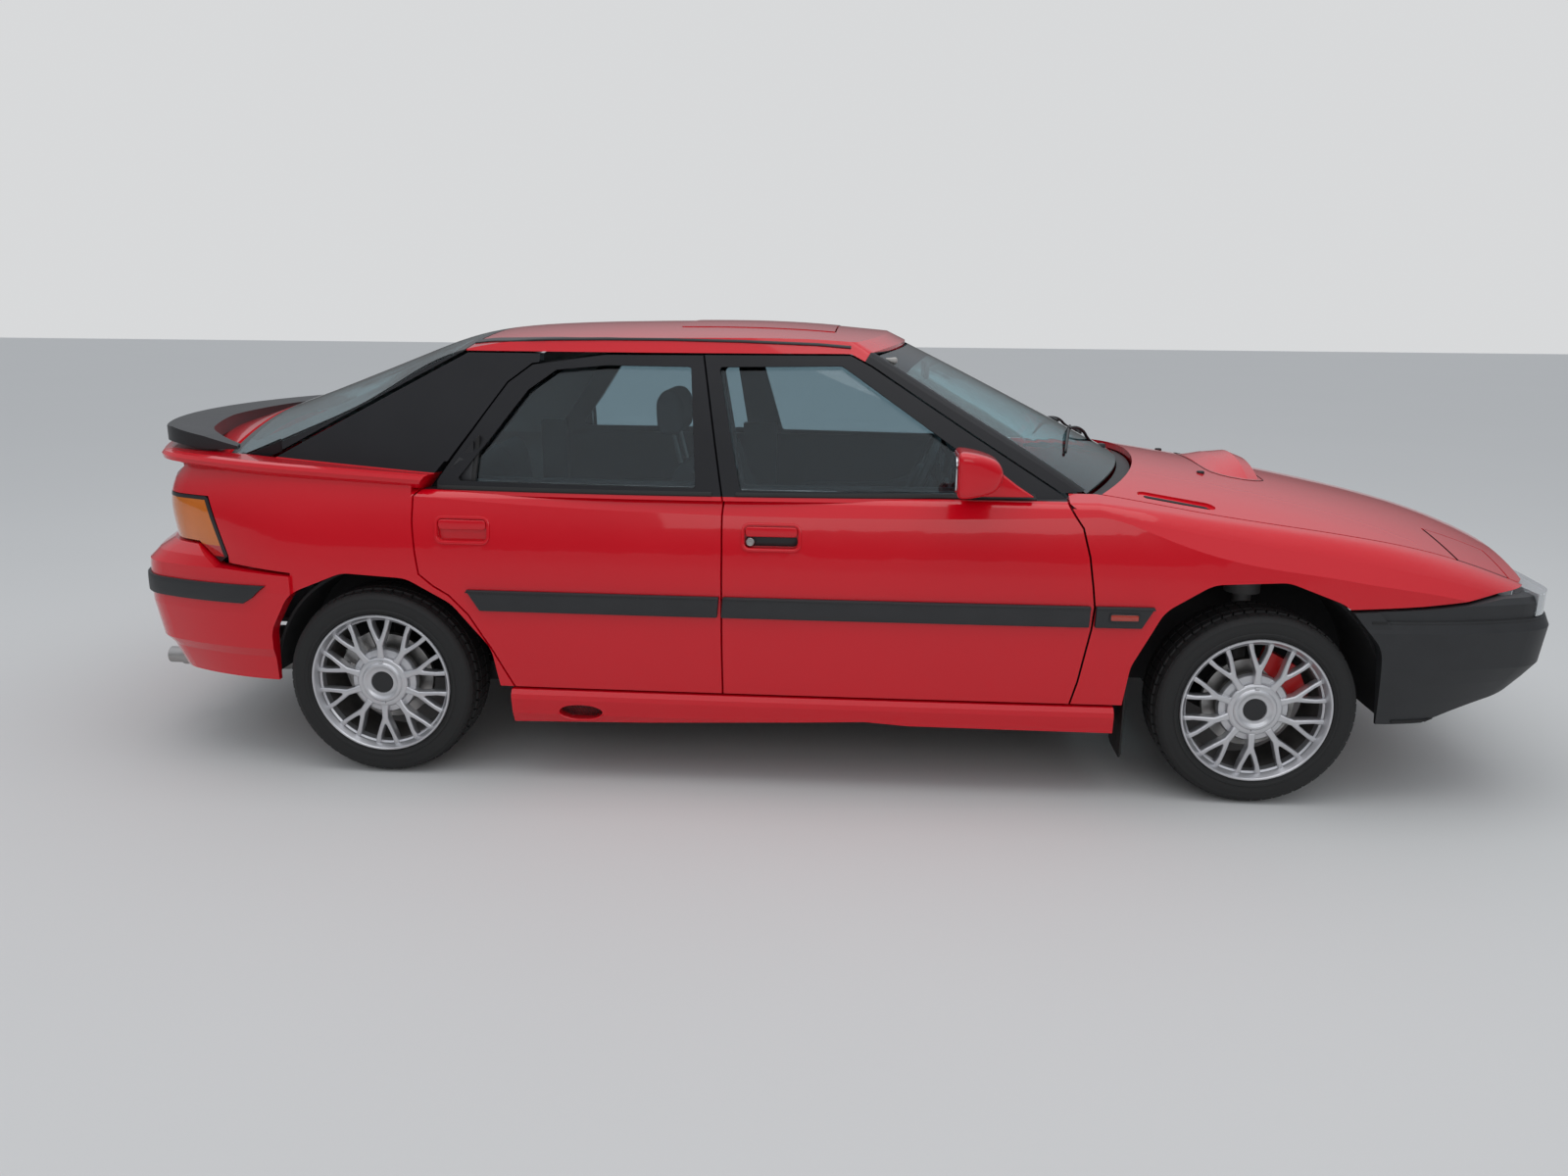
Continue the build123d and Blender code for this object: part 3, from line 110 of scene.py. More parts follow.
def surface(name, look, areas=()):
    mat = bpy.data.materials.new(name)
    mat.use_nodes = True
    tree = mat.node_tree
    shader = tree.nodes["Principled BSDF"]
    position, place, facing = foldedVectors(tree)

    def layer(spec):
        noise = tree.nodes.new("ShaderNodeTexNoise")
        link(tree, position, noise.inputs["Vector"])
        noise.inputs["Scale"].default_value = spec.get("tintScale", 6)
        noise.inputs["Detail"].default_value = 4
        colour, spread = spec["colour"], spec.get("spread", 0.08)
        low = [c * (1 - spread) for c in colour]
        high = [min(1, c * (1 + spread)) for c in colour]
        tint = mixNode(tree, noise.outputs[0], low, high)
        rough = spec.get("rough", 0.5)
        wear = spec.get("roughSpread", 0.15)
        roughness = mixNode(tree, noise.outputs[0], rough * (1 - wear), min(1, rough * (1 + wear)), "FLOAT")
        return tint, roughness, spec.get("metal", 0.0), spec.get("coat", 0.0), spec.get("clear", 0.0)

    tint, roughness, *rest = layer(look)
    for spec, clauses in areas:
        mask = areaMask(tree, place, facing, clauses)
        overTint, overRoughness, *overRest = layer(spec)
        tint = mixNode(tree, mask, tint, overTint)
        roughness = mixNode(tree, mask, roughness, overRoughness, "FLOAT")
        rest = [below if below == above else mixNode(tree, mask, below, above, "FLOAT")
                for below, above in zip(rest, overRest)]
    names = ("Base Color", "Roughness", "Metallic", "Coat Weight", "Transmission Weight")
    for socket, value in zip(names, (tint, roughness, *rest)):
        if isinstance(value, bpy.types.NodeSocket):
            link(tree, value, shader.inputs[socket])
        else:
            shader.inputs[socket].default_value = value
    for socket, value in look.get("sockets", {}).items():
        shader.inputs[socket].default_value = value
    grainScale, grainDepth = look.get("grain", (400, 0.02))
    grain = tree.nodes.new("ShaderNodeTexNoise")
    link(tree, position, grain.inputs["Vector"])
    grain.inputs["Scale"].default_value = grainScale
    grain.inputs["Detail"].default_value = 3
    bump = tree.nodes.new("ShaderNodeBump")
    bump.inputs["Strength"].default_value = look.get("grainStrength", 0.3)
    bump.inputs["Distance"].default_value = grainDepth / 1000
    link(tree, grain.outputs[0], bump.inputs["Height"])
    link(tree, bump.outputs[0], shader.inputs["Normal"])
    return mat


looks = {
    "red": {"colour": (0.66, 0.0005, 0.011), "spread": 0.03, "tintScale": 3, "rough": 0.24, "coat": 0.8,
            "grain": (900, 0.03), "grainStrength": 0.12,
            "sockets": {"Coat Roughness": 0.04, "Coat IOR": 1.45, "Specular IOR Level": 0.25}},
    "satinBlack": {"colour": (0.014, 0.014, 0.016), "spread": 0.25, "rough": 0.36, "grain": (1500, 0.06)},
    "trimBlack": {"colour": (0.02, 0.021, 0.023), "spread": 0.3, "tintScale": 14, "rough": 0.5,
                  "grain": (1800, 0.15), "grainStrength": 0.5},
    "grained": {"colour": (0.03, 0.031, 0.034), "spread": 0.15, "rough": 0.62, "grain": (1400, 0.25),
                "grainStrength": 0.6},
    "cloth": {"colour": (0.05, 0.052, 0.06), "spread": 0.3, "tintScale": 160, "rough": 0.95,
              "grain": (1900, 0.5), "grainStrength": 0.8},
    "carpet": {"colour": (0.035, 0.035, 0.038), "spread": 0.4, "tintScale": 300, "rough": 1.0,
               "grain": (1200, 1.0), "grainStrength": 0.9},
    "lining": {"colour": (0.42, 0.41, 0.39), "spread": 0.06, "rough": 0.95, "grain": (1500, 0.3)},
    "underseal": {"colour": (0.022, 0.022, 0.023), "spread": 0.4, "tintScale": 9, "rough": 0.85,
                  "grain": (260, 0.8), "grainStrength": 0.6},
    "rubber": {"colour": (0.012, 0.012, 0.012), "spread": 0.35, "tintScale": 18, "rough": 0.72,
               "grain": (900, 0.12), "grainStrength": 0.5},
    "silver": {"colour": (0.6, 0.6, 0.62), "spread": 0.05, "rough": 0.34, "metal": 0.75, "coat": 0.4,
               "grain": (2200, 0.03), "sockets": {"Coat Roughness": 0.12}},
    "steel": {"colour": (0.42, 0.41, 0.4), "spread": 0.2, "tintScale": 12, "rough": 0.42, "metal": 1.0,
              "grain": (700, 0.1)},
    "castMetal": {"colour": (0.2, 0.2, 0.2), "spread": 0.3, "tintScale": 9, "rough": 0.65, "metal": 0.6,
                  "grain": (240, 0.5), "grainStrength": 0.6},
    "glassSide": {"colour": (0.5, 0.62, 0.66), "spread": 0.02, "rough": 0.0, "clear": 1.0,
                  "grain": (9, 0.004), "grainStrength": 0.02, "sockets": {"IOR": 1.45}},
    "amber": {"colour": (0.95, 0.24, 0.01), "spread": 0.06, "rough": 0.08, "clear": 0.35, "coat": 1.0,
              "grain": (200, 0.1)},
    "mirrorGlass": {"colour": (0.75, 0.78, 0.8), "spread": 0.02, "rough": 0.03, "metal": 1.0,
                    "grain": (40, 0.01), "grainStrength": 0.05},
    "plateWhite": {"colour": (0.78, 0.78, 0.76), "spread": 0.04, "rough": 0.35, "coat": 0.3,
                   "grain": (600, 0.04)},
    "dialGrey": {"colour": (0.3, 0.3, 0.31), "spread": 0.1, "rough": 0.4, "grain": (500, 0.03)},
    "markerRed": {"colour": (0.42, 0.03, 0.012), "spread": 0.2, "tintScale": 90, "rough": 0.15,
                  "coat": 1.0},
    "lampRed": {"colour": (0.6, 0.01, 0.01), "spread": 0.06, "rough": 0.1, "clear": 0.2, "coat": 1.0},
    "lampClear": {"colour": (0.85, 0.88, 0.9), "spread": 0.03, "rough": 0.04, "clear": 0.55, "coat": 1.0},
}
looks["glassScreen"] = dict(looks["glassSide"], colour=(0.55, 0.8, 0.84))
looks["lampFluted"] = dict(looks["lampClear"], colour=(0.7, 0.74, 0.78), clear=0.1, metal=0.4,
                           grain=(60, 1.2), grainStrength=0.6)
black = looks["satinBlack"]
blackGlass = dict(black, rough=0.2)
# a darker grey for the wheel behind the faces of its spokes
wheelInnerDark = dict(looks["silver"], colour=(0.2, 0.19, 0.18), rough=0.6, spread=0.4, tintScale=30, coat=0.0)
calliperRed = {"colour": (0.5, 0.01, 0.01), "rough": 0.35}
sunBand = dict(looks["glassScreen"], colour=(0.02, 0.06, 0.09))
inward = ("facing", (0, -1, 0), 0.35)

# Finishes with areas: the base, then what is painted over it and where.
painted = {
    # the wheel is darker behind the faces of its spokes
    "wheelSilver": ("silver", [(wheelInnerDark, [[("place", (0, -1, 0), -0.765)]])]),
    "doorPaint": ("red", [  # the window frame is black, the inside grained
        (black, [[("place", (0, 0, 1), 0.8485)]]),
        (looks["grained"], [[inward, ("place", (0, 0, -1), -0.853)]])]),
    "roofPaint": ("red", [  # the screen pillars are black, the inside lined
        (black, [[("place", (0.85, 0, -0.53), -0.512), ("place", (0, 0, -1), -1.233)]]),
        (looks["lining"], [[("facing", (0, 0, -1), 0.3)], [("facing", (0, -1, 0), 0.5)]])]),
    "quarterPaint": ("red", [  # the broad pillar is black
        (black, [[("place", (0.0544, 0, 1), 0.8347)]]),
        (looks["grained"], [[inward, ("place", (0, 0, 1), 0.84), ("place", (0, -1, 0), -0.78)]]),
        (looks["lining"], [[("facing", (0, -1, 0), 0.3)]])]),
    "tailgatePaint": ("red", [(black, [[("place", (1, 0, 0), -1.7425)]])]),
    "tailLamp": ("lampRed", [  # clear inside, amber outside, and a black edge all round
        (looks["lampClear"], [[("place", (0, -1, 0), -0.45)]]),
        (looks["amber"], [[("place", (0, 1, 0), 0.6), ("place", (0, 0, 1), 0.668)]]),
        (black, [[("place", (0.9368, 0, 0.3506), -1.3715)], [("place", (0, 0, 1), 0.7985)],
                 [("place", (0, 0, -1), -0.637)], [("place", (0, -1, 0), -0.343)]])]),
    "lampCover": ("red", [(black, [[("facing", (0, 0, -1), -0.45)]])]),
    "floorShell": ("underseal", [
        (looks["carpet"], [[("facing", (0, 0, 1), 0.5), ("place", (-1, 0, 0), -0.83)]]),
        (looks["grained"], [[("place", (0, 0, 1), 0.66)]])]),
    "hub": ("steel", [
        (calliperRed, [[("place", (0, 1, 0), 0.67), ("place", (0.7, 0, 0.72), 1.176)]]),
        (looks["castMetal"], [[("place", (0, -1, 0), -0.66)]])]),
    "rearAxle": ("underseal", [(looks["steel"], [[("place", (0, 1, 0), 0.68)]])]),
    "screenGlass": ("glassScreen", [(sunBand, [[("place", (-0.84, -0.118, 0.54), 0.345)]])]),
    "hatchGlass": ("glassScreen", [
        (blackGlass, [[("place", (-1, 0, 0), 1.712)], [("place", (1, 0, 0), -1.04)]])]),
}
materials = {name: surface(name, look) for name, look in looks.items()}
materials.update({name: surface(name, looks[base], areas) for name, (base, areas) in painted.items()})

corners = ("front_right", "front_left", "rear_right", "rear_left")
nodeLooks = {
    "doorPaint": ["right_front_door", "left_front_door", "right_rear_door", "left_rear_door"],
    "red": ["front_wings", "bonnet", "sunroof", "side_skirts", "rear_bumper", "left_mirror", "right_mirror"],
    "roofPaint": ["roof"],
    "quarterPaint": ["rear_quarters"],
    "tailgatePaint": ["tailgate"],
    "lampCover": ["right_popup_lamp", "left_popup_lamp"],
    "trimBlack": ["front_bumper", "cowl"],
    "satinBlack": ["spoiler"],
    "glassSide": ["right_front_glass", "left_front_glass", "right_rear_glass", "left_rear_glass"],
    "screenGlass": ["windscreen"],
    "hatchGlass": ["tailgate_glass"],
    "floorShell": ["body_frame"],
    "hub": ["front_right_knuckle", "front_left_knuckle"],
    "rearAxle": ["suspension"],
    "underseal": ["fuel_tank"],
    "castMetal": ["engine_block"],
    "steel": ["exhaust"],
    "grained": ["dashboard", "steering_wheel"],
    "cloth": ["seats"],
    "tailLamp": ["tail_lamps"],
    "lampClear": ["front_lamps"],
    "rubber": [corner + "_tyre" for corner in corners],
    "silver": [corner + "_wheel" for corner in corners],
}
for look, names in nodeLooks.items():
    for name in names:
        nodes[name].data.materials.clear()
        nodes[name].data.materials.append(materials[look])
print("materials on the frame")

# Camera at the photograph's view, pale floor, soft light.
view = {"place": (0.1754, -3.9874, 1.3905), "yaw": 0.0733, "pitch": 0.2438, "roll": 0.0076,
        "lens": 27.0, "film": 36, "reach": 100}


def cameraAxes(yaw, pitch, roll):
    ahead = Vector((-math.sin(yaw) * math.cos(pitch), math.cos(yaw) * math.cos(pitch), -math.sin(pitch)))
    right = Vector((math.cos(yaw), math.sin(yaw), 0))
    up = right.cross(ahead)
    turnedRight = math.cos(roll) * right + math.sin(roll) * up
    turnedUp = -math.sin(roll) * right + math.cos(roll) * up
    return turnedRight, turnedUp, ahead


def addCamera():
    data = bpy.data.cameras.new("photoView")
    data.lens = view["lens"]
    data.sensor_width = view["film"]
    data.clip_end = view["reach"]
    camera = bpy.data.objects.new("photoView", data)
    bpy.context.scene.collection.objects.link(camera)
    right, up, ahead = cameraAxes(view["yaw"], view["pitch"], view["roll"])
    turn = Matrix((right, up, -ahead)).transposed()
    camera.matrix_world = Matrix.Translation(view["place"]) @ turn.to_4x4()
    bpy.context.scene.camera = camera


addCamera()

stage = {"floorSize": 60, "floorColour": (0.62, 0.62, 0.61), "skyStrength": 0.8,
         "skyLow": (0.16, 0.165, 0.17, 1), "skyHigh": (0.9, 0.94, 1.0, 1), "skySeen": (0.86, 0.87, 0.88)}


def plainFloor():
    bpy.ops.object.select_all(action="DESELECT")
    bpy.ops.mesh.primitive_plane_add(size=stage["floorSize"])
    floor = bpy.context.object
    floor.name = "floor"
    floor.data.materials.append(surface("floorPale", {
        "colour": stage["floorColour"], "spread": 0.02, "tintScale": 0.6, "rough": 0.85, "grain": (90, 0.4)}))


def addLamp(name, place, target, size, power):
    data = bpy.data.lights.new(name, "AREA")
    data.shape = "RECTANGLE"
    data.size, data.size_y = size
    data.energy = power
    lamp = bpy.data.objects.new(name, data)
    bpy.context.scene.collection.objects.link(lamp)
    direction = Vector(target) - Vector(place)
    lamp.matrix_world = Matrix.Translation(place) @ direction.to_track_quat("-Z", "Y").to_matrix().to_4x4()


def softSky():
    world = bpy.data.worlds.new("softSky")
    bpy.context.scene.world = world
    world.use_nodes = True
    tree = world.node_tree
    back = tree.nodes["Background"]
    coord = tree.nodes.new("ShaderNodeTexCoord")
    split = tree.nodes.new("ShaderNodeSeparateXYZ")
    link(tree, coord.outputs["Generated"], split.inputs[0])
    ramp = tree.nodes.new("ShaderNodeValToRGB")
    for end, height, colour in zip(ramp.color_ramp.elements, (0.02, 0.6), (stage["skyLow"], stage["skyHigh"])):
        end.position = height
        end.color = colour
    link(tree, split.outputs[2], ramp.inputs[0])
    path = tree.nodes.new("ShaderNodeLightPath")
    seen = mixNode(tree, path.outputs["Is Camera Ray"], ramp.outputs[0], stage["skySeen"])
    link(tree, seen, back.inputs[0])
    back.inputs[1].default_value = stage["skyStrength"]


plainFloor()
softSky()
addLamp("overheadSoftbox", (0, -1.0, 5.5), (0, 0, 0.6), (7, 4), 95)
addLamp("sideSoftbox", (1.5, -7.5, 3.2), (0, 0, 0.5), (7, 2.4), 60)
bpy.context.scene.view_settings.view_transform = "Standard"
print("camera, floor and light")

# Ways of making pieces, shared by all that follow.
def startClean():
    if bpy.context.object and bpy.context.object.mode == "EDIT":
        bpy.ops.object.mode_set(mode="OBJECT")
    bpy.ops.object.select_all(action="DESELECT")


def pick(piece):
    startClean()
    piece.select_set(True)
    bpy.context.view_layer.objects.active = piece


def applyModifier(piece, kind, **values):
    pick(piece)
    modifier = piece.modifiers.new(kind.lower(), kind)
    for key, value in values.items():
        setattr(modifier, key, value)
    bpy.ops.object.modifier_apply(modifier=modifier.name)


def bevelEdges(piece, width, segments=2, angle=35):
    applyModifier(piece, "BEVEL", width=width, segments=segments, limit_method="ANGLE",
                  angle_limit=math.radians(angle), harden_normals=False)


def editAll(piece):
    pick(piece)
    bpy.ops.object.mode_set(mode="EDIT")
    bpy.ops.mesh.select_all(action="SELECT")


def tidyMesh(piece, merge=0.00002, outward=True):
    editAll(piece)
    bpy.ops.mesh.remove_doubles(threshold=merge)
    if outward:
        bpy.ops.mesh.normals_make_consistent(inside=False)
    bpy.ops.object.mode_set(mode="OBJECT")


def flipFaces(piece):
    editAll(piece)
    bpy.ops.mesh.flip_normals()
    bpy.ops.object.mode_set(mode="OBJECT")


def mirrored(piece, slotName, name, body):
    pick(piece)
    bpy.ops.object.duplicate()
    twin = bpy.context.object
    twin.name = name
    twin.scale[1] = -1
    bpy.ops.object.transform_apply(location=True, rotation=True, scale=True)
    tidyMesh(twin, 0.000001)
    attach(twin, body)


# Finishes a piece and puts it on its body; twin is the name and body of its copy on the left.
def dress(piece, look, body, slotName, twin=None, smooth=38, replaced=()):
    pick(piece)
    bpy.ops.object.transform_apply(location=True, rotation=True, scale=True)
    if smooth:
        bpy.ops.object.shade_smooth_by_angle(angle=math.radians(smooth))
    piece.data.materials.clear()
    piece.data.materials.append(materials[look])
    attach(piece, body)
    if replaced:
        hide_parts(*replaced)
    if twin:
        mirrored(piece, slotName, *twin)


def onBody(piece, look, slotName="black_trim", twin=None, **more):
    dress(piece, look, "car_body", slotName, (twin, "car_body") if twin else None, **more)


# A turned piece: a circle drawn out along y, ring by ring, as (radius, distance).
def turnedPiece(name, rings, centre=(0, 0, 0), outward=-1, segments=72):
    startClean()
    radius, across = rings[0]
    x, y, z = centre
    bpy.ops.mesh.primitive_circle_add(vertices=segments, radius=radius, rotation=(math.pi / 2, 0, 0),
                                      location=(x, y + outward * across, z))
    piece = bpy.context.object
    piece.name = name
    bpy.ops.object.transform_apply(location=True, rotation=True, scale=True)
    editAll(piece)
    for nextRadius, nextAcross in rings[1:]:
        step = outward * (nextAcross - across)
        bpy.ops.mesh.extrude_edges_move(TRANSFORM_OT_translate={"value": (0, step, 0)})
        nextRadius = max(nextRadius, 0.0002)  # a pole stays open until it is merged
        factor = nextRadius / radius
        bpy.ops.transform.resize(value=(factor, 1, factor), center_override=(x, y + outward * nextAcross, z))
        radius, across = nextRadius, nextAcross
    if rings[-1][0] == 0:
        bpy.ops.mesh.merge(type="CENTER")
    bpy.ops.object.mode_set(mode="OBJECT")
    tidyMesh(piece)
    return piece


def flatOutline(name, points, level, axis="y"):
    startClean()
    bpy.ops.mesh.primitive_circle_add(vertices=len(points), radius=0.1, fill_type="NGON")
    piece = bpy.context.object
    piece.name = name
    for vertex, (a, b) in zip(piece.data.vertices, points):
        vertex.co = (a, level, b) if axis == "y" else (a, b, level) if axis == "z" else (level, a, b)
    return piece


# A flat outline drawn out from start to end along an axis.
def prism(name, points, start, end, axis="y", bevel=0.002, segments=2, angle=35):
    piece = flatOutline(name, points, start, axis)
    editAll(piece)
    move = {"x": (end - start, 0, 0), "y": (0, end - start, 0), "z": (0, 0, end - start)}[axis]
    bpy.ops.mesh.extrude_region_move(TRANSFORM_OT_translate={"value": move})
    bpy.ops.object.mode_set(mode="OBJECT")
    tidyMesh(piece)
    if bevel:
        bevelEdges(piece, bevel, segments, angle)
    return piece


def roundedOutline(x0, x1, z0, z1, radius, steps=5):
    points = []
    for cx, cz, start in ((x1 - radius, z1 - radius, 0), (x0 + radius, z1 - radius, 90),
                          (x0 + radius, z0 + radius, 180), (x1 - radius, z0 + radius, 270)):
        for step in range(steps + 1):
            angle = math.radians(start + 90 * step / steps)
            points.append((cx + radius * math.cos(angle), cz + radius * math.sin(angle)))
    return points


def resample(line, count):
    lengths = [0]
    for a, b in zip(line, line[1:]):
        lengths.append(lengths[-1] + math.dist(a, b))
    out = []
    for step in range(count):
        want = lengths[-1] * step / (count - 1)
        i = max(1, next((k for k, v in enumerate(lengths) if v >= want - 1e-9), len(lengths) - 1))
        part = (want - lengths[i - 1]) / max(1e-9, lengths[i] - lengths[i - 1])
        out.append(tuple(p + (q - p) * part for p, q in zip(line[i - 1], line[i])))
    return out


# A piece laid on the skin: a grid between two or more (x, z) lines, thrown onto a node from the right,
# then given thickness. A point that misses the node takes the depth of the nearest one that doesn't.
def laidPiece(name, lines, target, proud, deep=0.003, across=3, count=40, bevel=0.0015, loop=False):
    rows = [resample(line + line[:1] if loop else line, count) for line in lines]
    if len(rows) == 2:
        rows = [[tuple(p + (q - p) * k / (across - 1) for p, q in zip(a, b)) for a, b in zip(*rows)]
                for k in range(across)]
    outside = -1.2
    startClean()
    bpy.ops.mesh.primitive_grid_add(x_subdivisions=count - 1, y_subdivisions=len(rows) - 1, size=1)
    piece = bpy.context.object
    piece.name = name
    for vertex, (x, z) in zip(piece.data.vertices, [point for row in rows for point in row]):
        vertex.co = (x, outside, z)
    applyModifier(piece, "SHRINKWRAP", target=nodes[target], wrap_method="PROJECT",
                  use_negative_direction=False, use_positive_direction=True, use_project_y=True)
    reached = [vertex.co.copy() for vertex in piece.data.vertices if vertex.co.y > outside + 0.01]
    for vertex in piece.data.vertices:
        if vertex.co.y <= outside + 0.01:
            here = vertex.co
            here.y = min(reached, key=lambda spot: (spot.x - here.x) ** 2 + (spot.z - here.z) ** 2).y
    tidyMesh(piece, 0.00001, outward=False)
    if sum(face.normal.y * face.area for face in piece.data.polygons) > 0:
        flipFaces(piece)
    applyModifier(piece, "SOLIDIFY", thickness=proud + deep, offset=(proud - deep) / (proud + deep),
                  use_even_offset=True)
    bevelEdges(piece, bevel)
    return piece


def joined(name, pieces):
    startClean()
    for piece in pieces:
        piece.select_set(True)
    bpy.context.view_layer.objects.active = pieces[0]
    bpy.ops.object.join()
    pieces[0].name = name
    return pieces[0]


def quarterTurned(piece, place, axis="Z"):  # stands a turned piece up (X) or faces it backwards (Z)
    piece.data.transform(Matrix.Translation(place) @ Matrix.Rotation(-math.pi / 2, 4, axis))
    return piece


def movedCopy(piece, name, matrix):
    pick(piece)
    bpy.ops.object.duplicate()
    copy = bpy.context.object
    copy.name = name
    copy.data.transform(matrix)
    return copy


trees = {}


def hitFrom(node, origin, direction):
    if node not in trees:
        mesh = nodes[node].data
        trees[node] = BVHTree.FromPolygons([vertex.co[:] for vertex in mesh.vertices],
                                           [face.vertices[:] for face in mesh.polygons])
    return trees[node].ray_cast(Vector(origin), Vector(direction))[0]


def skinAt(node, x, z):  # depth of a node's right side
    hit = hitFrom(node, (x, -2.0, z), (0, 1, 0))
    return hit.y if hit else -0.8


def above(node, x, y):  # height of a node's top
    hit = hitFrom(node, (x, y, 2.0), (0, 0, -1))
    return hit.z if hit else 0.9


# Wheels: a stepped barrel, ten forked spokes and a capped hub, modelled round the origin facing right.
wheel = {"rightY": -0.716, "axleZ": 0.279, "frontX": 1.26, "rearX": -1.24, "spokes": 10, "root": 0.07,
         "forkAt": 0.112, "tip": 0.1925, "stemHalf": 0.0092, "tipHalf": 0.0355, "branch": 0.0138,
         "faceAt": 0.079, "deep": 0.026, "faceInset": 0.0034, "faceRise": 0.0026, "crown": 0.0035,
         "tyreRadius": 0.279, "pitches": 58, "grooveRadius": 0.2705, "shoulderDrop": 0.0045}
# rings are (radius, distance towards the outside)
barrelRings = [(0.2072, 0.0865), (0.2078, 0.0935), (0.2055, 0.0968), (0.2015, 0.0972), (0.1985, 0.0935),
               (0.1972, 0.0872), (0.1925, 0.0815), (0.1915, 0.0745), (0.1865, 0.0705), (0.1845, 0.045),
               (0.1838, -0.07), (0.188, -0.088), (0.2, -0.0955), (0.2072, -0.0955), (0.2075, -0.0865),
               (0.2, -0.08), (0.1955, 0.0), (0.2, 0.0785), (0.2072, 0.0865)]
capRings = [(0.098, 0.035), (0.099, 0.058), (0.0945, 0.0645), (0.0815, 0.0672), (0.078, 0.0672),
            (0.0772, 0.0695), (0.0755, 0.0775), (0.0725, 0.0812), (0.0675, 0.0826), (0.0605, 0.0826),
            (0.0592, 0.0842), (0.0565, 0.0872), (0.053, 0.0882), (0.0485, 0.0872), (0.0462, 0.0846),
            (0.0385, 0.0826), (0.0335, 0.082), (0.0325, 0.0795), (0, 0.0795)]
tyreRings = [(0.2068, 0.0865), (0.2105, 0.0925), (0.2165, 0.0945), (0.2185, 0.0975), (0.2235, 0.0982),
             (0.226, 0.0962), (0.2355, 0.0976), (0.246, 0.0972), (0.2545, 0.0948), (0.256, 0.0952),
             (0.2615, 0.0925), (0.2675, 0.088), (0.271, 0.0815), (0.2722, 0.0745), (0.2722, 0.0)]
# tread rows: from, to, lean and the gap between blocks in millimetres
treadRows = [(-0.084, -0.060, 0.05, 5), (-0.055, -0.029, 0.3, 5), (-0.024, 0.024, 0.0, 2),
             (0.029, 0.055, 0.3, 5), (0.060, 0.084, 0.05, 5)]


def forkedSpoke():
    half, tip, end = wheel["stemHalf"], wheel["tipHalf"], wheel["tip"] + 0.001
    outer = [(wheel["root"], half + 0.002), (0.09, half), (wheel["forkAt"], half - 0.0002), (0.14, 0.0195),
             (0.165, 0.0285), (end, tip + 0.001)]
    inner = [(end, tip - wheel["branch"]), (0.168, 0.0165), (0.147, 0.0085), (0.134, 0.003), (0.1305, 0)]
    points = outer + inner + [(r, -t) for r, t in reversed(inner[:-1])] + [(r, -t) for r, t in reversed(outer)]
    spoke = prism("spoke", points, wheel["deep"] - wheel["faceAt"], -wheel["faceAt"], bevel=0)
    editAll(spoke)
    bpy.ops.mesh.select_all(action="DESELECT")
    bpy.ops.object.mode_set(mode="OBJECT")
    for face in spoke.data.polygons:
        face.select = face.normal.y < -0.9
    bpy.ops.object.mode_set(mode="EDIT")
    bpy.ops.mesh.inset(thickness=wheel["faceInset"], depth=0.0)
    bpy.ops.transform.translate(value=(0, -wheel["faceRise"], 0))
    bpy.ops.object.mode_set(mode="OBJECT")
    for vertex in spoke.data.vertices:
        if vertex.co.y < -0.07:  # the outer face is crowned along the spoke
            share = min(1, max(0, (vertex.co.x - wheel["root"]) / 0.12))
            vertex.co.y -= wheel["crown"] * math.sin(math.pi * share)
    bevelEdges(spoke, 0.0016, 2, 30)
    return spoke


def wheelRim():
    barrel = turnedPiece("barrel", barrelRings, segments=96)
    cap = turnedPiece("cap", capRings, segments=72)
    parts = [barrel, cap]
    spoke = forkedSpoke()
    for k in range(wheel["spokes"]):
        angle = 2 * math.pi * (k + 0.5) / wheel["spokes"]
        parts.append(movedCopy(spoke, "spokeCopy", Matrix.Rotation(angle, 4, "Y")))
    startClean()
    bpy.data.objects.remove(spoke)
    for z in (-0.062, 0.062):  # the two finger tabs of the cap
        parts.append(prism("tab", roundedOutline(-0.006, 0.006, z - 0.0035, z + 0.0035, 0.002),
                           -0.0835, -0.088, bevel=0.0008))
    return joined("rimModel", parts)


def tyreModel():
    rings = tyreRings + [(r, -a) for r, a in reversed(tyreRings[:-1])]
    body = turnedPiece("carcass", rings, segments=116)
    blocks = []
    drop = wheel["shoulderDrop"]
    pitch = 2 * math.pi * wheel["tyreRadius"] / wheel["pitches"]
    for low, high, lean, cut in treadRows:
        span = (pitch - cut / 1000) / 2
        skew = lean * (high - low)
        points = [(-span - skew / 2, low), (span - skew / 2, low), (span + skew / 2, high),
                  (-span + skew / 2, high)]
        outer = wheel["tyreRadius"] - (drop if abs(low + high) > 0.13 else 0.0)
        block = prism("block", points, wheel["grooveRadius"], outer, axis="z", bevel=0.0009, segments=1)
        for vertex in block.data.vertices:
            if vertex.co.z > 0.273 and abs(vertex.co.y) > 0.075:  # the shoulder falls away
                vertex.co.z -= drop
        blocks.append(block)
    row = joined("treadPitch", blocks)
    copies = [movedCopy(row, "treadCopy", Matrix.Rotation(2 * math.pi * k / wheel["pitches"], 4, "Y"))
              for k in range(1, wheel["pitches"])]
    return joined("tyreModel", [body, row] + copies)


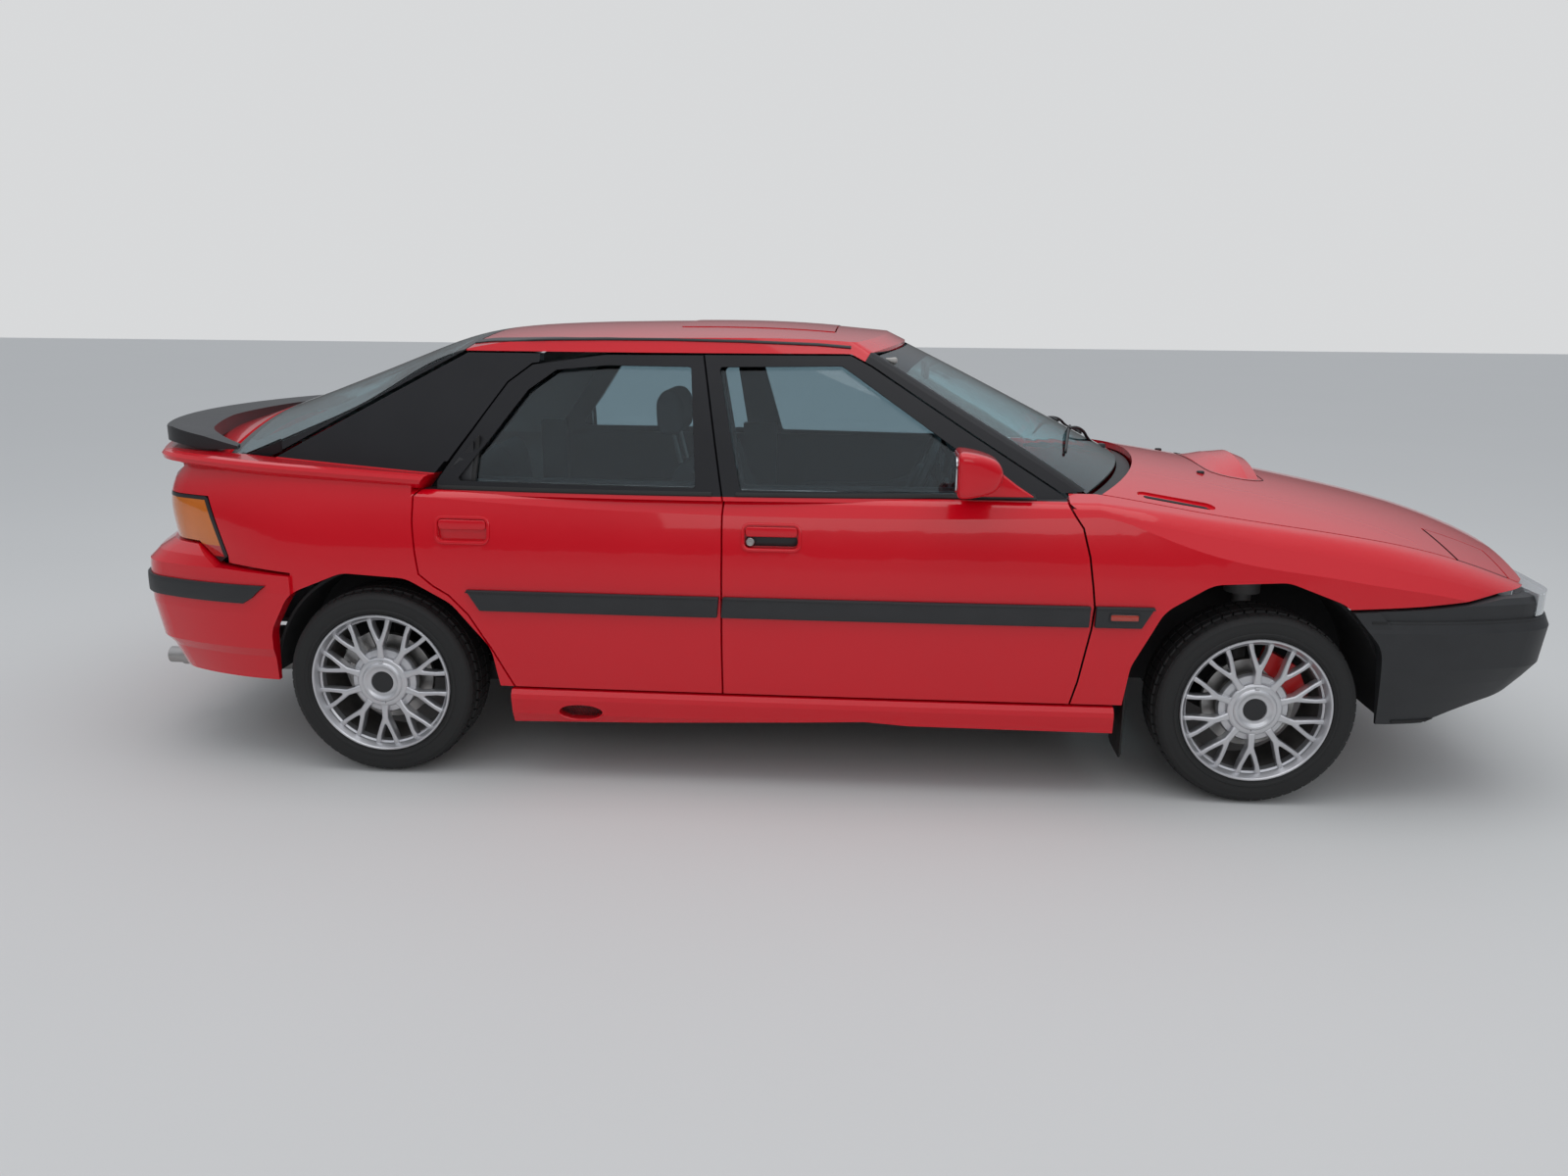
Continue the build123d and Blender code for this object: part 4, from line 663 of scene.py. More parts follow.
rimModel = wheelRim()
rubberModel = tyreModel()
for side, y, turned in (("right", wheel["rightY"], 0), ("left", -wheel["rightY"], math.pi)):
    for end, x in (("front", wheel["frontX"]), ("rear", wheel["rearX"])):
        body = end + "_" + side + "_wheel"
        turn = Matrix.Translation((x, y, wheel["axleZ"])) @ Matrix.Rotation(turned, 4, "Z")
        dress(movedCopy(rimModel, body + "_rim", turn), "wheelSilver", body, "silver_metal", replaced=[body])
        dress(movedCopy(rubberModel, body + "_tread", turn), "rubber", body, "tyre_rubber",
              replaced=[end + "_" + side + "_tyre"])
        disc = turnedPiece(body + "_centre", [(0.0322, 0.079), (0.0318, 0.0806), (0.029, 0.0812), (0, 0.0808)],
                           (x, y, wheel["axleZ"]), -1 if side == "right" else 1, 48)
        dress(disc, "satinBlack", body, "black_trim")
startClean()
bpy.data.objects.remove(rimModel)
bpy.data.objects.remove(rubberModel)
print("wheels and tyres")

# Outside trim. Everything is modelled on the right side and mirrored.
def rod(name, points, radius, smooth=False, cyclic=False):
    startClean()
    curve = bpy.data.curves.new(name, "CURVE")
    curve.dimensions = "3D"
    curve.bevel_depth = radius
    curve.bevel_resolution = 2
    curve.resolution_u = 6
    curve.use_fill_caps = True
    line = curve.splines.new("NURBS" if smooth else "POLY")
    line.points.add(len(points) - 1)
    for spot, place in zip(line.points, points):
        spot.co = (*place, 1)
    line.use_cyclic_u = cyclic
    if smooth:
        line.order_u = 3
        line.use_endpoint_u = True
    holder = bpy.data.objects.new(name, curve)
    bpy.context.scene.collection.objects.link(holder)
    pick(holder)
    bpy.ops.object.convert(target="MESH")
    piece = bpy.context.object
    tidyMesh(piece)
    return piece


# A band round a bumper: rays towards a centre line at each (height, lean of the ends in degrees).
def bandRound(name, node, levels, start, end, centre, proud, deep=0.004, bevel=0.002):
    count = 120
    startClean()
    bpy.ops.mesh.primitive_grid_add(x_subdivisions=count - 1, y_subdivisions=len(levels) - 1, size=1)
    piece = bpy.context.object
    piece.name = name
    spots = []
    for height, lean in levels:
        for column in range(count):
            share = column / (count - 1)
            trim = lean * (1 if share < 0.5 else -1) * max(0, 1 - min(share, 1 - share) / 0.04)
            turn = math.radians(start + (end - start) * share + trim)
            away = Vector((math.cos(turn), math.sin(turn), 0))
            origin = Vector((*centre, height)) + away * 2.5
            hit = hitFrom(node, origin, -away)
            spots.append(hit if hit else spots[-1] if spots else origin)
    for vertex, spot in zip(piece.data.vertices, spots):
        vertex.co = spot
    outward = sum((face.center - Vector((*centre, face.center.z))).normalized().dot(face.normal)
                  for face in piece.data.polygons)
    if outward < 0:
        flipFaces(piece)
    applyModifier(piece, "SOLIDIFY", thickness=proud + deep, offset=(proud - deep) / (proud + deep),
                  use_even_offset=False)
    bevelEdges(piece, bevel)
    return piece


moulding = {"top": 0.573, "bottom": 0.514, "proud": 0.0125, "ridge": (0.0035, 0.0075), "ridgeProud": 0.0145,
            "ends": {"right_rear_door": ((-0.962, -0.2385), (-0.924, -0.2435)),
                     "right_front_door": ((-0.2275, 0.784), (-0.2325, 0.782)),
                     "front_wings": ((0.7985, 0.957), (0.797, 0.924))}}
for node, (topEnds, lowEnds) in moulding["ends"].items():
    body = "car_body" if node == "front_wings" else node
    twin, twinBody = node.replace("right", "left"), body.replace("right", "left")
    lines = [[(x, moulding["top"]) for x in topEnds], [(x, moulding["bottom"]) for x in lowEnds]]
    strip = laidPiece(node + "_strip", lines, node, moulding["proud"], count=44, across=5, bevel=0.003)
    dress(strip, "trimBlack", body, "black_trim", (twin + "_stripLeft", twinBody))
    lines = [[(x, moulding["top"] - down) for x in topEnds] for down in moulding["ridge"]]
    ridge = laidPiece(node + "_ridge", lines, node, moulding["ridgeProud"], deep=0.002, count=44, bevel=0.0008)
    dress(ridge, "satinBlack", body, "black_trim", (twin + "_ridgeLeft", twinBody))

marker = {"x": (0.834, 0.917), "z": (0.5315, 0.5565), "rim": 0.004}
x0, x1, z0, z1 = *marker["x"], *marker["z"]
bezelOutline = roundedOutline(x0, x1, z0, z1, 0.004)
x0, x1, z0, z1 = x0 + marker["rim"], x1 - marker["rim"], z0 + marker["rim"], z1 - marker["rim"]
bezel = laidPiece("markerBezel", [bezelOutline, roundedOutline(x0, x1, z0, z1, 0.002)], "front_wings", 0.0155,
                  loop=True, count=25, across=2, bevel=0.0006)
onBody(bezel, "satinBlack", twin="markerBezelLeft")
lens = laidPiece("markerLens", [[(x0, z1), (x1, z1)], [(x0, z0), (x1, z0)]], "front_wings", 0.0148, count=20,
                 bevel=0.001)
onBody(lens, "markerRed", "lamp_plastic", "markerLensLeft")
print("side mouldings and markers")

# Handles: a raised bead round the pocket, the pull plate above, a black plate in the pocket as painted shade,
# and the lock below.
handle = {"right_front_door": (-0.168, -0.020), "right_rear_door": (-1.040, -0.899), "z": (0.712, 0.772),
          "bead": 0.0095, "split": 0.7425, "pocket": 0.0205, "lock": (-0.1525, 0.7275)}
lockRings = [(0.0118, 0.0), (0.0118, 0.0235), (0.0105, 0.025), (0.0088, 0.0252), (0.008, 0.0242),
             (0.003, 0.0242), (0.0018, 0.0232), (0, 0.0232)]
for node in ("right_front_door", "right_rear_door"):
    left, right = handle[node]
    low, high = handle["z"]
    bead, gap, split = handle["bead"], 0.0012, handle["split"]
    twin = node.replace("right", "left")
    frameBead = laidPiece(node + "_bead", [
        roundedOutline(left - bead, right + bead, low - bead, high + bead, 0.022),
        roundedOutline(left - gap, right + gap, low - gap, high + gap, 0.0145),
    ], node, 0.0042, loop=True, count=61, across=3, bevel=0.0018)
    dress(frameBead, "red", node, "red_paint", (twin + "_bead", twin))
    level = (skinAt(node, left - 0.004, 0.75) + skinAt(node, right + 0.004, 0.75)) / 2
    pull = prism(node + "_pull", roundedOutline(left + 0.0015, right - 0.0015, split, high - 0.001, 0.010),
                 level + 0.013, level - 0.0012, bevel=0.0035, segments=3)
    dress(pull, "red", node, "red_paint", (twin + "_pull", twin))
    # a black plate on the pocket's floor: painted shade for the dark of the handle recess
    shadePlate = prism(node + "_hollow", roundedOutline(left + 0.002, right - 0.002, low + 0.002, split, 0.012),
                   level + handle["pocket"], level + handle["pocket"] - 0.004, bevel=0.0008)
    dress(shadePlate, "satinBlack", node, "black_trim", (twin + "_hollow", twin))
    if "front" in node:
        x, z = handle["lock"]
        lock = turnedPiece("lockBarrel", lockRings, (x, level + 0.024, z), segments=32)
        dress(lock, "steel", node, "bare_steel", ("lockBarrelLeft", twin))
print("door handles")

# Rubber along the window sills, the drip mouldings, and the rear door's black corner and divider.
for node, left, right in (("right_front_door", -0.196, 0.632), ("right_rear_door", -1.05, -0.262)):
    twin = node.replace("right", "left")
    seal = laidPiece(node + "_sill", [[(left, z), (right, z)] for z in (0.8605, 0.8495)], node, 0.0035)
    dress(seal, "rubber", node, "black_trim", (twin + "_sill", twin))
drip = [(-1.0, 1.2495), (-0.935, 1.2565), (-0.75, 1.263), (-0.589, 1.2655), (-0.4, 1.2655), (-0.204, 1.262),
        (0.016, 1.254), (0.11, 1.2465)]
gutter = laidPiece("dripMoulding", [[(x, z + half) for x, z in drip] for half in (0.0035, -0.0035)], "roof",
                   0.0035, count=60, bevel=0.0012)
onBody(gutter, "satinBlack", twin="dripMouldingLeft")
corner = laidPiece("doorCorner", [[(-1.052, 0.867), (-0.951, 0.984)], [(-0.955, 0.867), (-0.9505, 0.981)]],
                   "right_rear_glass", 0.004, count=12, across=6, bevel=0.0008)
dress(corner, "satinBlack", "right_rear_door", "black_trim", ("doorCornerLeft", "left_rear_door"))
divider = laidPiece("doorDivider", [[(-0.9545, 0.866), (-0.9445, 0.992)], [(-0.9405, 0.866), (-0.9325, 1.0)]],
                    "right_rear_glass", 0.009, count=20, across=3, bevel=0.002)
dress(divider, "rubber", "right_rear_door", "black_trim", ("doorDividerLeft", "left_rear_door"))
print("window trim")

# Door mirrors: a rounded shell on a foot, with the glass facing back.
mirrorPart = {"shell": (0.105, 0.196, 0.124), "place": (0.45, -0.886, 0.944)}


def mirrorShell():
    startClean()
    bpy.ops.mesh.primitive_cube_add(size=1, location=mirrorPart["place"], scale=mirrorPart["shell"])
    shell = bpy.context.object
    shell.name = "mirrorShell"
    bpy.ops.object.transform_apply(location=True, rotation=True, scale=True)
    editAll(shell)
    bpy.ops.mesh.subdivide(number_cuts=3)
    bpy.ops.object.mode_set(mode="OBJECT")
    cx, cy, cz = mirrorPart["place"]
    lx, ly, lz = mirrorPart["shell"]
    for vertex in shell.data.vertices:
        u, v, w = (vertex.co.x - cx) / lx, (vertex.co.y - cy) / ly, (vertex.co.z - cz) / lz
        front = max(0, u + 0.5)
        vertex.co.y = cy + ly * v * (1 - 0.26 * front ** 2) + 0.012 * front
        vertex.co.z = cz + lz * w * (1 - 0.34 * front ** 2) * (1 - 0.12 * max(0, v * 2) ** 2) - 0.004 * front
        vertex.co.x += 0.018 * (1 - (2 * w) ** 2) * front
    applyModifier(shell, "SUBSURF", levels=2, render_levels=2)
    return shell


shell = mirrorShell()
dress(shell, "red", "right_front_door", "red_paint", ("mirrorShellLeft", "left_front_door"))
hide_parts("right_mirror")
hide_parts("left_mirror")
pane = prism("mirrorPane", roundedOutline(-0.966, -0.808, 0.899, 0.99, 0.022), 0.3978, 0.3935, axis="x",
             bevel=0.0015)
dress(pane, "mirrorGlass", "right_front_door", "clear_glass", ("mirrorPaneLeft", "left_front_door"))
foot = prism("mirrorFoot", [(0.425, 0.8605), (0.622, 0.862), (0.575, 0.892), (0.525, 0.93), (0.487, 0.962),
                            (0.455, 0.955), (0.438, 0.91)], -0.752, -0.7845, bevel=0.004, segments=3)
dress(foot, "red", "right_front_door", "red_paint", ("mirrorFootLeft", "left_front_door"))
neck = prism("mirrorNeck", roundedOutline(0.442, 0.516, 0.895, 0.948, 0.02), -0.778, -0.842, bevel=0.008,
             segments=3)
dress(neck, "red", "right_front_door", "red_paint", ("mirrorNeckLeft", "left_front_door"))
print("mirrors")

# Bands round the bumpers, mud flaps and blank plates.
strip = bandRound("rearBumperStrip", "rear_bumper", [(0.512, -5), (0.53, -3), (0.55, -1.5), (0.567, 0)], 257.5,
                  102.5, (-1.375, 0), 0.009)
onBody(strip, "trimBlack")
groove = bandRound("frontBumperGroove", "front_bumper", [(0.5405, 0), (0.5475, 0)], -62, 62, (1.1, 0), 0.0012,
                   deep=0.002, bevel=0.0004)
onBody(groove, "rubber")
lip = bandRound("frontBumperLip", "front_bumper", [(0.2515, 0), (0.2585, 0)], -56, 56, (1.1, 0), 0.004,
                deep=0.003, bevel=0.0012)
onBody(lip, "rubber")
flap = prism("mudFlap", [(-0.79, 0.31), (-0.625, 0.31), (-0.635, 0.125), (-0.66, 0.115), (-0.775, 0.115),
                         (-0.788, 0.13)], 0.9, 0.9055, axis="x", bevel=0.0015)
onBody(flap, "rubber", twin="mudFlapLeft")

plate = {"half": 0.26, "halfHigh": 0.055, "corner": 0.01, "rim": 0.003,
         "frontPlate": ("front_bumper", 0.475, -1), "rearPlate": ("rear_quarters", 0.745, 1)}
for name in ("frontPlate", "rearPlate"):
    node, z, ahead = plate[name]
    x = hitFrom(node, (-2.6 * ahead, 0.0, z), (ahead, 0, 0)).x
    outline = roundedOutline(-plate["half"], plate["half"], z - plate["halfHigh"], z + plate["halfHigh"],
                             plate["corner"])
    board = prism(name, outline, x + ahead * 0.001, x - ahead * 0.0035, axis="x", bevel=0.0008)
    onBody(board, "plateWhite")
    edge = [(x - ahead * 0.003, y, height) for y, height in outline]
    onBody(rod(name + "Rim", edge, plate["rim"], cyclic=True), "satinBlack")
print("bumper bands, flaps and plates")

# The net in the air duct of each sill.
duct = {"centre": (-0.644, 0.216), "half": (0.06, 0.019), "lip": (0.0655, 0.0245), "cell": 0.0085, "y": -0.792}


def hexNet():
    startClean()
    cell = duct["cell"]
    bpy.ops.mesh.primitive_circle_add(vertices=6, radius=cell * 0.577, fill_type="NGON",
                                      rotation=(math.pi / 2, math.pi / 6, 0))
    one = bpy.context.object
    bpy.ops.object.transform_apply(location=True, rotation=True, scale=True)
    editAll(one)
    bpy.ops.mesh.inset(thickness=0.0009)
    bpy.ops.mesh.delete(type="FACE")
    bpy.ops.object.mode_set(mode="OBJECT")
    cells = []
    for row in range(-3, 4):
        for column in range(-9, 10):
            dx = (column + 0.5 * (row % 2)) * cell
            dz = row * cell * 0.866
            if (dx / duct["half"][0]) ** 2 + (dz / duct["half"][1]) ** 2 < 1.12:
                place = (duct["centre"][0] + dx, duct["y"], duct["centre"][1] + dz)
                cells.append(movedCopy(one, "cell", Matrix.Translation(place)))
    bpy.data.objects.remove(one)
    net = joined("sillNet", cells)
    tidyMesh(net, 0.0003, outward=False)
    applyModifier(net, "SOLIDIFY", thickness=0.003, offset=0)
    return net


onBody(hexNet(), "satinBlack", twin="sillNetLeft", smooth=0)
(cx, cz), (long, high) = duct["centre"], duct["lip"]
level = skinAt("side_skirts", -0.73, cz) + 0.001
turns = [math.pi * k / 20 for k in range(40)]
ductLip = rod("ductLip", [(cx + long * math.cos(turn), level, cz + high * math.sin(turn)) for turn in turns],
              0.0026, cyclic=True)
onBody(ductLip, "red", "red_paint", "ductLipLeft")

# Wipers, washer jets and the joint round the bonnet's bulge.
# each wiper: the two ends of its blade and the pivot, as (x, y)
wipers = [((0.842, 0.05), (0.742, -0.50), (0.935, -0.02)), ((0.797, 0.585), (0.808, 0.10), (0.935, 0.44))]
for number, (start, end, (px, py)) in enumerate(wipers):
    spots = resample([start, end], 9)
    glass = [above("windscreen", x, y) + 0.006 for x, y in spots]
    blade = rod("wiperBlade%d" % number, [(x, y, z) for (x, y), z in zip(spots, glass)], 0.0042)
    onBody(blade, "rubber")
    bow = rod("wiperBow%d" % number, [(x, y, glass[k] + 0.011 * math.sin(math.pi * k / 8))
                                      for k, (x, y) in enumerate(spots)], 0.003, smooth=True)
    onBody(bow, "satinBlack")
    mx, my = spots[4]
    lift = glass[4] + 0.011
    cowlTop = above("cowl", px, py) + 0.014
    arm = rod("wiperArm%d" % number, [(px, py, cowlTop),
                                      ((px * 2 + mx) / 3, (py * 2 + my) / 3, cowlTop + 0.012),
                                      ((px + mx * 2) / 3, (py + my * 2) / 3, max(lift, cowlTop) + 0.004),
                                      (mx, my, lift)], 0.0048, smooth=True)
    onBody(arm, "satinBlack")
    nut = turnedPiece("wiperNut%d" % number, [(0.014, 0), (0.0145, 0.02), (0.011, 0.026), (0, 0.028)],
                      segments=24)
    onBody(quarterTurned(nut, (px, py, cowlTop - 0.018), "X"), "satinBlack")

jet = {"x": 1.194, "y": -0.281, "deep": 0.004, "high": 0.007}
level = above("bonnet", jet["x"], jet["y"])
nozzle = prism("washerJet", roundedOutline(jet["x"] - 0.012, jet["x"] + 0.01, jet["y"] - 0.009,
                                           jet["y"] + 0.009, 0.006),
               level - jet["deep"], level + jet["high"], axis="z", bevel=0.003)
dress(nozzle, "satinBlack", "bonnet", "black_trim", ("washerJetLeft", "bonnet"))
bulge = [(1.222, 0.0), (1.224, -0.12), (1.2275, -0.19), (1.236, -0.232), (1.258, -0.257), (1.292, -0.268),
         (1.33, -0.268), (1.366, -0.255), (1.392, -0.236), (1.407, -0.214), (1.411, -0.12), (1.412, 0.0)]
seam = rod("bulgeSeam", [(x, y, above("bonnet", x, y) + 0.0002) for x, y in resample(bulge, 40)], 0.0014)
dress(seam, "rubber", "bonnet", "black_trim", ("bulgeSeamLeft", "bonnet"))

# The air slot follows the slope of the bonnet.
vent = {"place": (1.035, -0.640, 0.838), "half": 0.091, "halfWide": 0.0075, "up": (0.17, -0.22, 1)}
half, halfWide = vent["half"], vent["halfWide"]
ventSlot = prism("ventSlot", roundedOutline(-half, half, -halfWide, halfWide, 0.007), -0.0068, -0.005, axis="z",
                 bevel=0.0006)
up = Vector(vent["up"]).normalized()
along = Vector((1, 0, -vent["up"][0])).normalized()
slope = Matrix((along, up.cross(along), up)).transposed()
ventSlot.data.transform(Matrix.Translation(vent["place"]) @ slope.to_4x4())
dress(ventSlot, "rubber", "bonnet", "black_trim", ("ventSlotLeft", "bonnet"))
print("wipers and bonnet details")

# Glass of the pop-up lamps and its dark frame, on the drum that turns up. Limits are two angles and two
# distances across.
popup = {"pivot": (1.815, 0.724), "radius": 0.1772, "proud": 0.0016, "columns": 16,
         "frame": (-61.5, -34.5, -0.605, -0.457), "glass": (-59, -37, -0.597, -0.465)}


def drumPiece(name, radius, limits, thick):
    last = popup["columns"] - 1
    low, high, y0, y1 = limits
    px, pz = popup["pivot"]
    startClean()
    bpy.ops.mesh.primitive_grid_add(x_subdivisions=last, y_subdivisions=last, size=1)
    piece = bpy.context.object
    piece.name = name
    for number, vertex in enumerate(piece.data.vertices):
        row, column = divmod(number, last + 1)
        turn = math.radians(low + (high - low) * row / last)
        vertex.co = (px + radius * math.cos(turn), y0 + (y1 - y0) * column / last, pz + radius * math.sin(turn))
    tidyMesh(piece, 0.00001, outward=False)
    inside = piece.data.polygons[0].normal.x < 0
    applyModifier(piece, "SOLIDIFY", thickness=thick, offset=-1 if inside else 1)
    tidyMesh(piece, 0.000001)
    bevelEdges(piece, 0.0008)
    return piece


lampFrame = drumPiece("popupFrame", popup["radius"], popup["frame"], popup["proud"])
dress(lampFrame, "satinBlack", "right_popup", "black_trim", ("popupFrameLeft", "left_popup"))
lampGlass = drumPiece("popupGlass", popup["radius"] + popup["proud"], popup["glass"], 0.0018)
dress(lampGlass, "lampFluted", "right_popup", "lamp_plastic", ("popupGlassLeft", "left_popup"))

# Fuel flap on the left side, and the exhaust end.
outline = roundedOutline(-1.215, -1.075, 0.655, 0.785, 0.022)
fuelSeam = rod("fuelFlapSeam", [(x, 0.0003 - skinAt("rear_quarters", x, z), z) for x, z in outline], 0.0014,
               cyclic=True)
onBody(fuelSeam, "rubber")
tailpipe = turnedPiece("exhaustEnd", [(0.024, 0.0), (0.024, 0.062), (0.0265, 0.066), (0.0305, 0.064),
                                      (0.031, 0.055), (0.031, -0.01), (0.024, -0.01), (0.024, 0.0)],
                       segments=40)
onBody(quarterTurned(tailpipe, (-2.0, -0.43, 0.226)), "steel", "bare_steel")

# Steering wheel: modelled flat at the origin, then tipped onto its column.
steering = {"hub": (0.345, 0.370, 0.735), "tilt": -65, "rim": 0.1745, "grip": 0.0145}


def steeringWheel():
    startClean()
    bpy.ops.mesh.primitive_torus_add(major_radius=steering["rim"], minor_radius=steering["grip"],
                                     major_segments=72, minor_segments=14)
    rim = bpy.context.object
    for vertex in rim.data.vertices:
        turn = math.atan2(vertex.co.y, vertex.co.x)
        swell = 1 + 0.09 * max(0, math.cos(4 * turn - math.pi)) ** 3
        ring = Vector((math.cos(turn), math.sin(turn), 0)) * steering["rim"]
        vertex.co = ring + (vertex.co - ring) * swell
    pad = prism("pad", [(-0.062, -0.075), (0.062, -0.075), (0.088, -0.03), (0.085, 0.03), (0.05, 0.052),
                        (-0.05, 0.052), (-0.085, 0.03), (-0.088, -0.03)], -0.022, 0.018, axis="z", bevel=0.012,
                segments=4)
    pad.data.transform(Matrix.Rotation(-math.pi / 2, 4, "Z"))
    parts = [rim, pad]
    for angle in (28, -28, 152, 208):
        spoke = prism("spoke", [(0.06, -0.02), (0.165, -0.011), (0.165, 0.011), (0.06, 0.02)], -0.016, 0.0,
                      axis="z", bevel=0.005, segments=3)
        spoke.data.transform(Matrix.Rotation(math.radians(angle + 90), 4, "Z"))
        parts.append(spoke)
    return joined("steeringRim", parts)


wheelRing = steeringWheel()
tipped = Matrix.Rotation(math.radians(steering["tilt"]), 4, "Y")
wheelRing.data.transform(Matrix.Translation(steering["hub"]) @ tipped)
dress(wheelRing, "grained", "steering_wheel", "grey_plastic", replaced=["steering_wheel"])

# Cabin fittings. A box is (name, look, slot, outline, start, end, axis, bevel, segments); facia is the
# face of the dashboard.
facia = 0.4405
cabinBoxes = [
    ("middlePanel", "trimBlack", "grey_plastic", roundedOutline(-0.095, 0.095, 0.585, 0.71, 0.01),
     facia + 0.004, facia - 0.006, "x", 0.002, 2),
    ("instrumentFace", "satinBlack", "grey_plastic", roundedOutline(0.22, 0.52, 0.745, 0.842, 0.03),
     facia - 0.002, facia - 0.005, "x", 0.001, 2),
    ("instrumentHood", "grained", "grey_plastic",
     [(0.452, 0.856), (0.48, 0.868), (0.56, 0.862), (0.56, 0.85), (0.48, 0.857), (0.454, 0.85)],
     0.205, 0.535, "y", 0.003, 2),
    ("gloveLid", "grained", "grey_plastic", roundedOutline(-0.5, -0.16, 0.57, 0.69, 0.014),
     facia + 0.004, facia - 0.004, "x", 0.0025, 2),
    ("insideMirror", "satinBlack", "black_trim", roundedOutline(-0.118, 0.118, 1.13, 1.182, 0.022),
     0.355, 0.338, "x", 0.006, 3),
    ("parcelShelf", "carpet", "grey_cloth",
     [(-1.27, -0.5), (-1.27, 0.5), (-1.45, 0.53), (-1.62, 0.5), (-1.62, -0.5), (-1.45, -0.53)],
     0.845, 0.858, "z", 0.004, 2),
]
for name, look, slotName, outline, start, end, axis, bevel, segments in cabinBoxes:
    onBody(prism(name, outline, start, end, axis, bevel, segments), look, slotName)

slat = {"low": 0.733, "pitch": 0.0107, "high": 0.003, "inset": 0.0065}
for number, (y, half) in enumerate(((-0.535, 0.04), (-0.075, 0.055), (0.075, 0.055), (0.57, 0.04))):
    vent = prism("airVent%d" % number, roundedOutline(y - half, y + half, 0.722, 0.776, 0.008), facia + 0.004,
                 facia - 0.007, axis="x")
    onBody(vent, "trimBlack", "grey_plastic")
    half -= slat["inset"]
    levels = [slat["low"] + row * slat["pitch"] for row in range(4)]
    slats = [prism("slat", roundedOutline(y - half, y + half, level, level + slat["high"], 0.0012, 2),
                   facia - 0.005, facia - 0.0115, axis="x", bevel=0.0008) for level in levels]
    onBody(joined("airVentSlats%d" % number, slats), "grained", "grey_plastic")

for number, y in enumerate((-0.06, 0.0, 0.06)):
    knob = turnedPiece("heaterKnob%d" % number, [(0.017, 0), (0.016, 0.014), (0.0135, 0.0165), (0, 0.0165)],
                       segments=32)
    onBody(quarterTurned(knob, (facia - 0.005, y, 0.625)), "grained", "grey_plastic")
dials = [(0.305, 0.036), (0.425, 0.036), (0.365, 0.02), (0.483, 0.02), (0.25, 0.02)]  # across, radius
for number, (y, radius) in enumerate(dials):
    rings = [(radius, 0), (radius, 0.003), (radius - 0.003, 0.0035), (radius - 0.004, 0.0015), (0.004, 0.0015),
             (0.003, 0.004), (0, 0.004)]
    dial = turnedPiece("dial%d" % number, rings, segments=40)
    onBody(quarterTurned(dial, (facia - 0.0047, y, 0.795)), "dialGrey", "grey_plastic")

# Gear lever with its knob and gaiter, hand brake, stem of the inside mirror, sun visors.
lever = rod("gearLever", [(0.16, 0, 0.545), (0.155, 0, 0.60), (0.14, 0, 0.655)], 0.0065, smooth=True)
onBody(lever, "steel", "bare_steel")
knob = turnedPiece("gearKnob", [(0.008, 0), (0.019, 0.012), (0.0235, 0.028), (0.0215, 0.044), (0.013, 0.053),
                                (0, 0.055)], segments=32)
onBody(quarterTurned(knob, (0.142, 0, 0.645), "X"), "grained", "grey_plastic")
gaiter = turnedPiece("gearGaiter", [(0.052, 0), (0.05, 0.006), (0.04, 0.012), (0.042, 0.018), (0.031, 0.025),
                                    (0.032, 0.031), (0.02, 0.038), (0.012, 0.05), (0.007, 0.056)], segments=40)
onBody(quarterTurned(gaiter, (0.158, 0, 0.553), "X"), "cloth", "grey_cloth")
brake = rod("handBrake", [(-0.13, 0.02, 0.562), (-0.06, 0.02, 0.592), (0.03, 0.02, 0.618)], 0.014, smooth=True)
onBody(brake, "grained", "grey_plastic")
stem = rod("insideMirrorStem", [(0.35, 0, 1.165), (0.375, 0, 1.178), (0.39, 0, 1.182)], 0.006)
onBody(stem, "satinBlack")
visor = prism("sunVisor", roundedOutline(0.115, 0.245, -0.50, -0.135, 0.02), 1.2, 1.216, axis="z", bevel=0.006)
onBody(visor, "lining", "grey_cloth", "sunVisorLeft")

for node, x0, x1 in (("right_front_door", -0.12, 0.36), ("right_rear_door", -0.78, -0.42)):
    twin = node.replace("right", "left")
    rest = prism(node + "_armrest", [(x0, 0.61), (x0 + 0.03, 0.66), (x1 - 0.12, 0.668), (x1 - 0.02, 0.70),
                                     (x1, 0.695), (x1 - 0.01, 0.63), (x1 - 0.1, 0.605)],
                 -0.728, -0.672, bevel=0.014, segments=4)
    dress(rest, "grained", node, "grey_plastic", (twin + "_armrest", twin))
    card = prism(node + "_card", roundedOutline(x0 - 0.07, x1 + 0.06, 0.43, 0.58, 0.03), -0.727, -0.7225)
    dress(card, "cloth", node, "grey_cloth", (twin + "_card", twin))
print("cabin fittings")

# Seats: foam pads filled by a short cloth run, with sewn channels.
seat = {"middle": -0.370, "pressure": 4.0, "frames": 20, "voxel": 0.011, "cap": 0.018, "fill": 0.7,
        "channel": 0.012, "channelDeep": 0.006, "rail": 0.142, "flute": 0.05}
bench = {"voxel": 0.014, "cap": 0.016, "half": 0.48, "channels": (-0.2, 0.2), "channel": 0.016}
headrest = {"voxel": 0.009, "cap": 0.012, "half": 0.112}


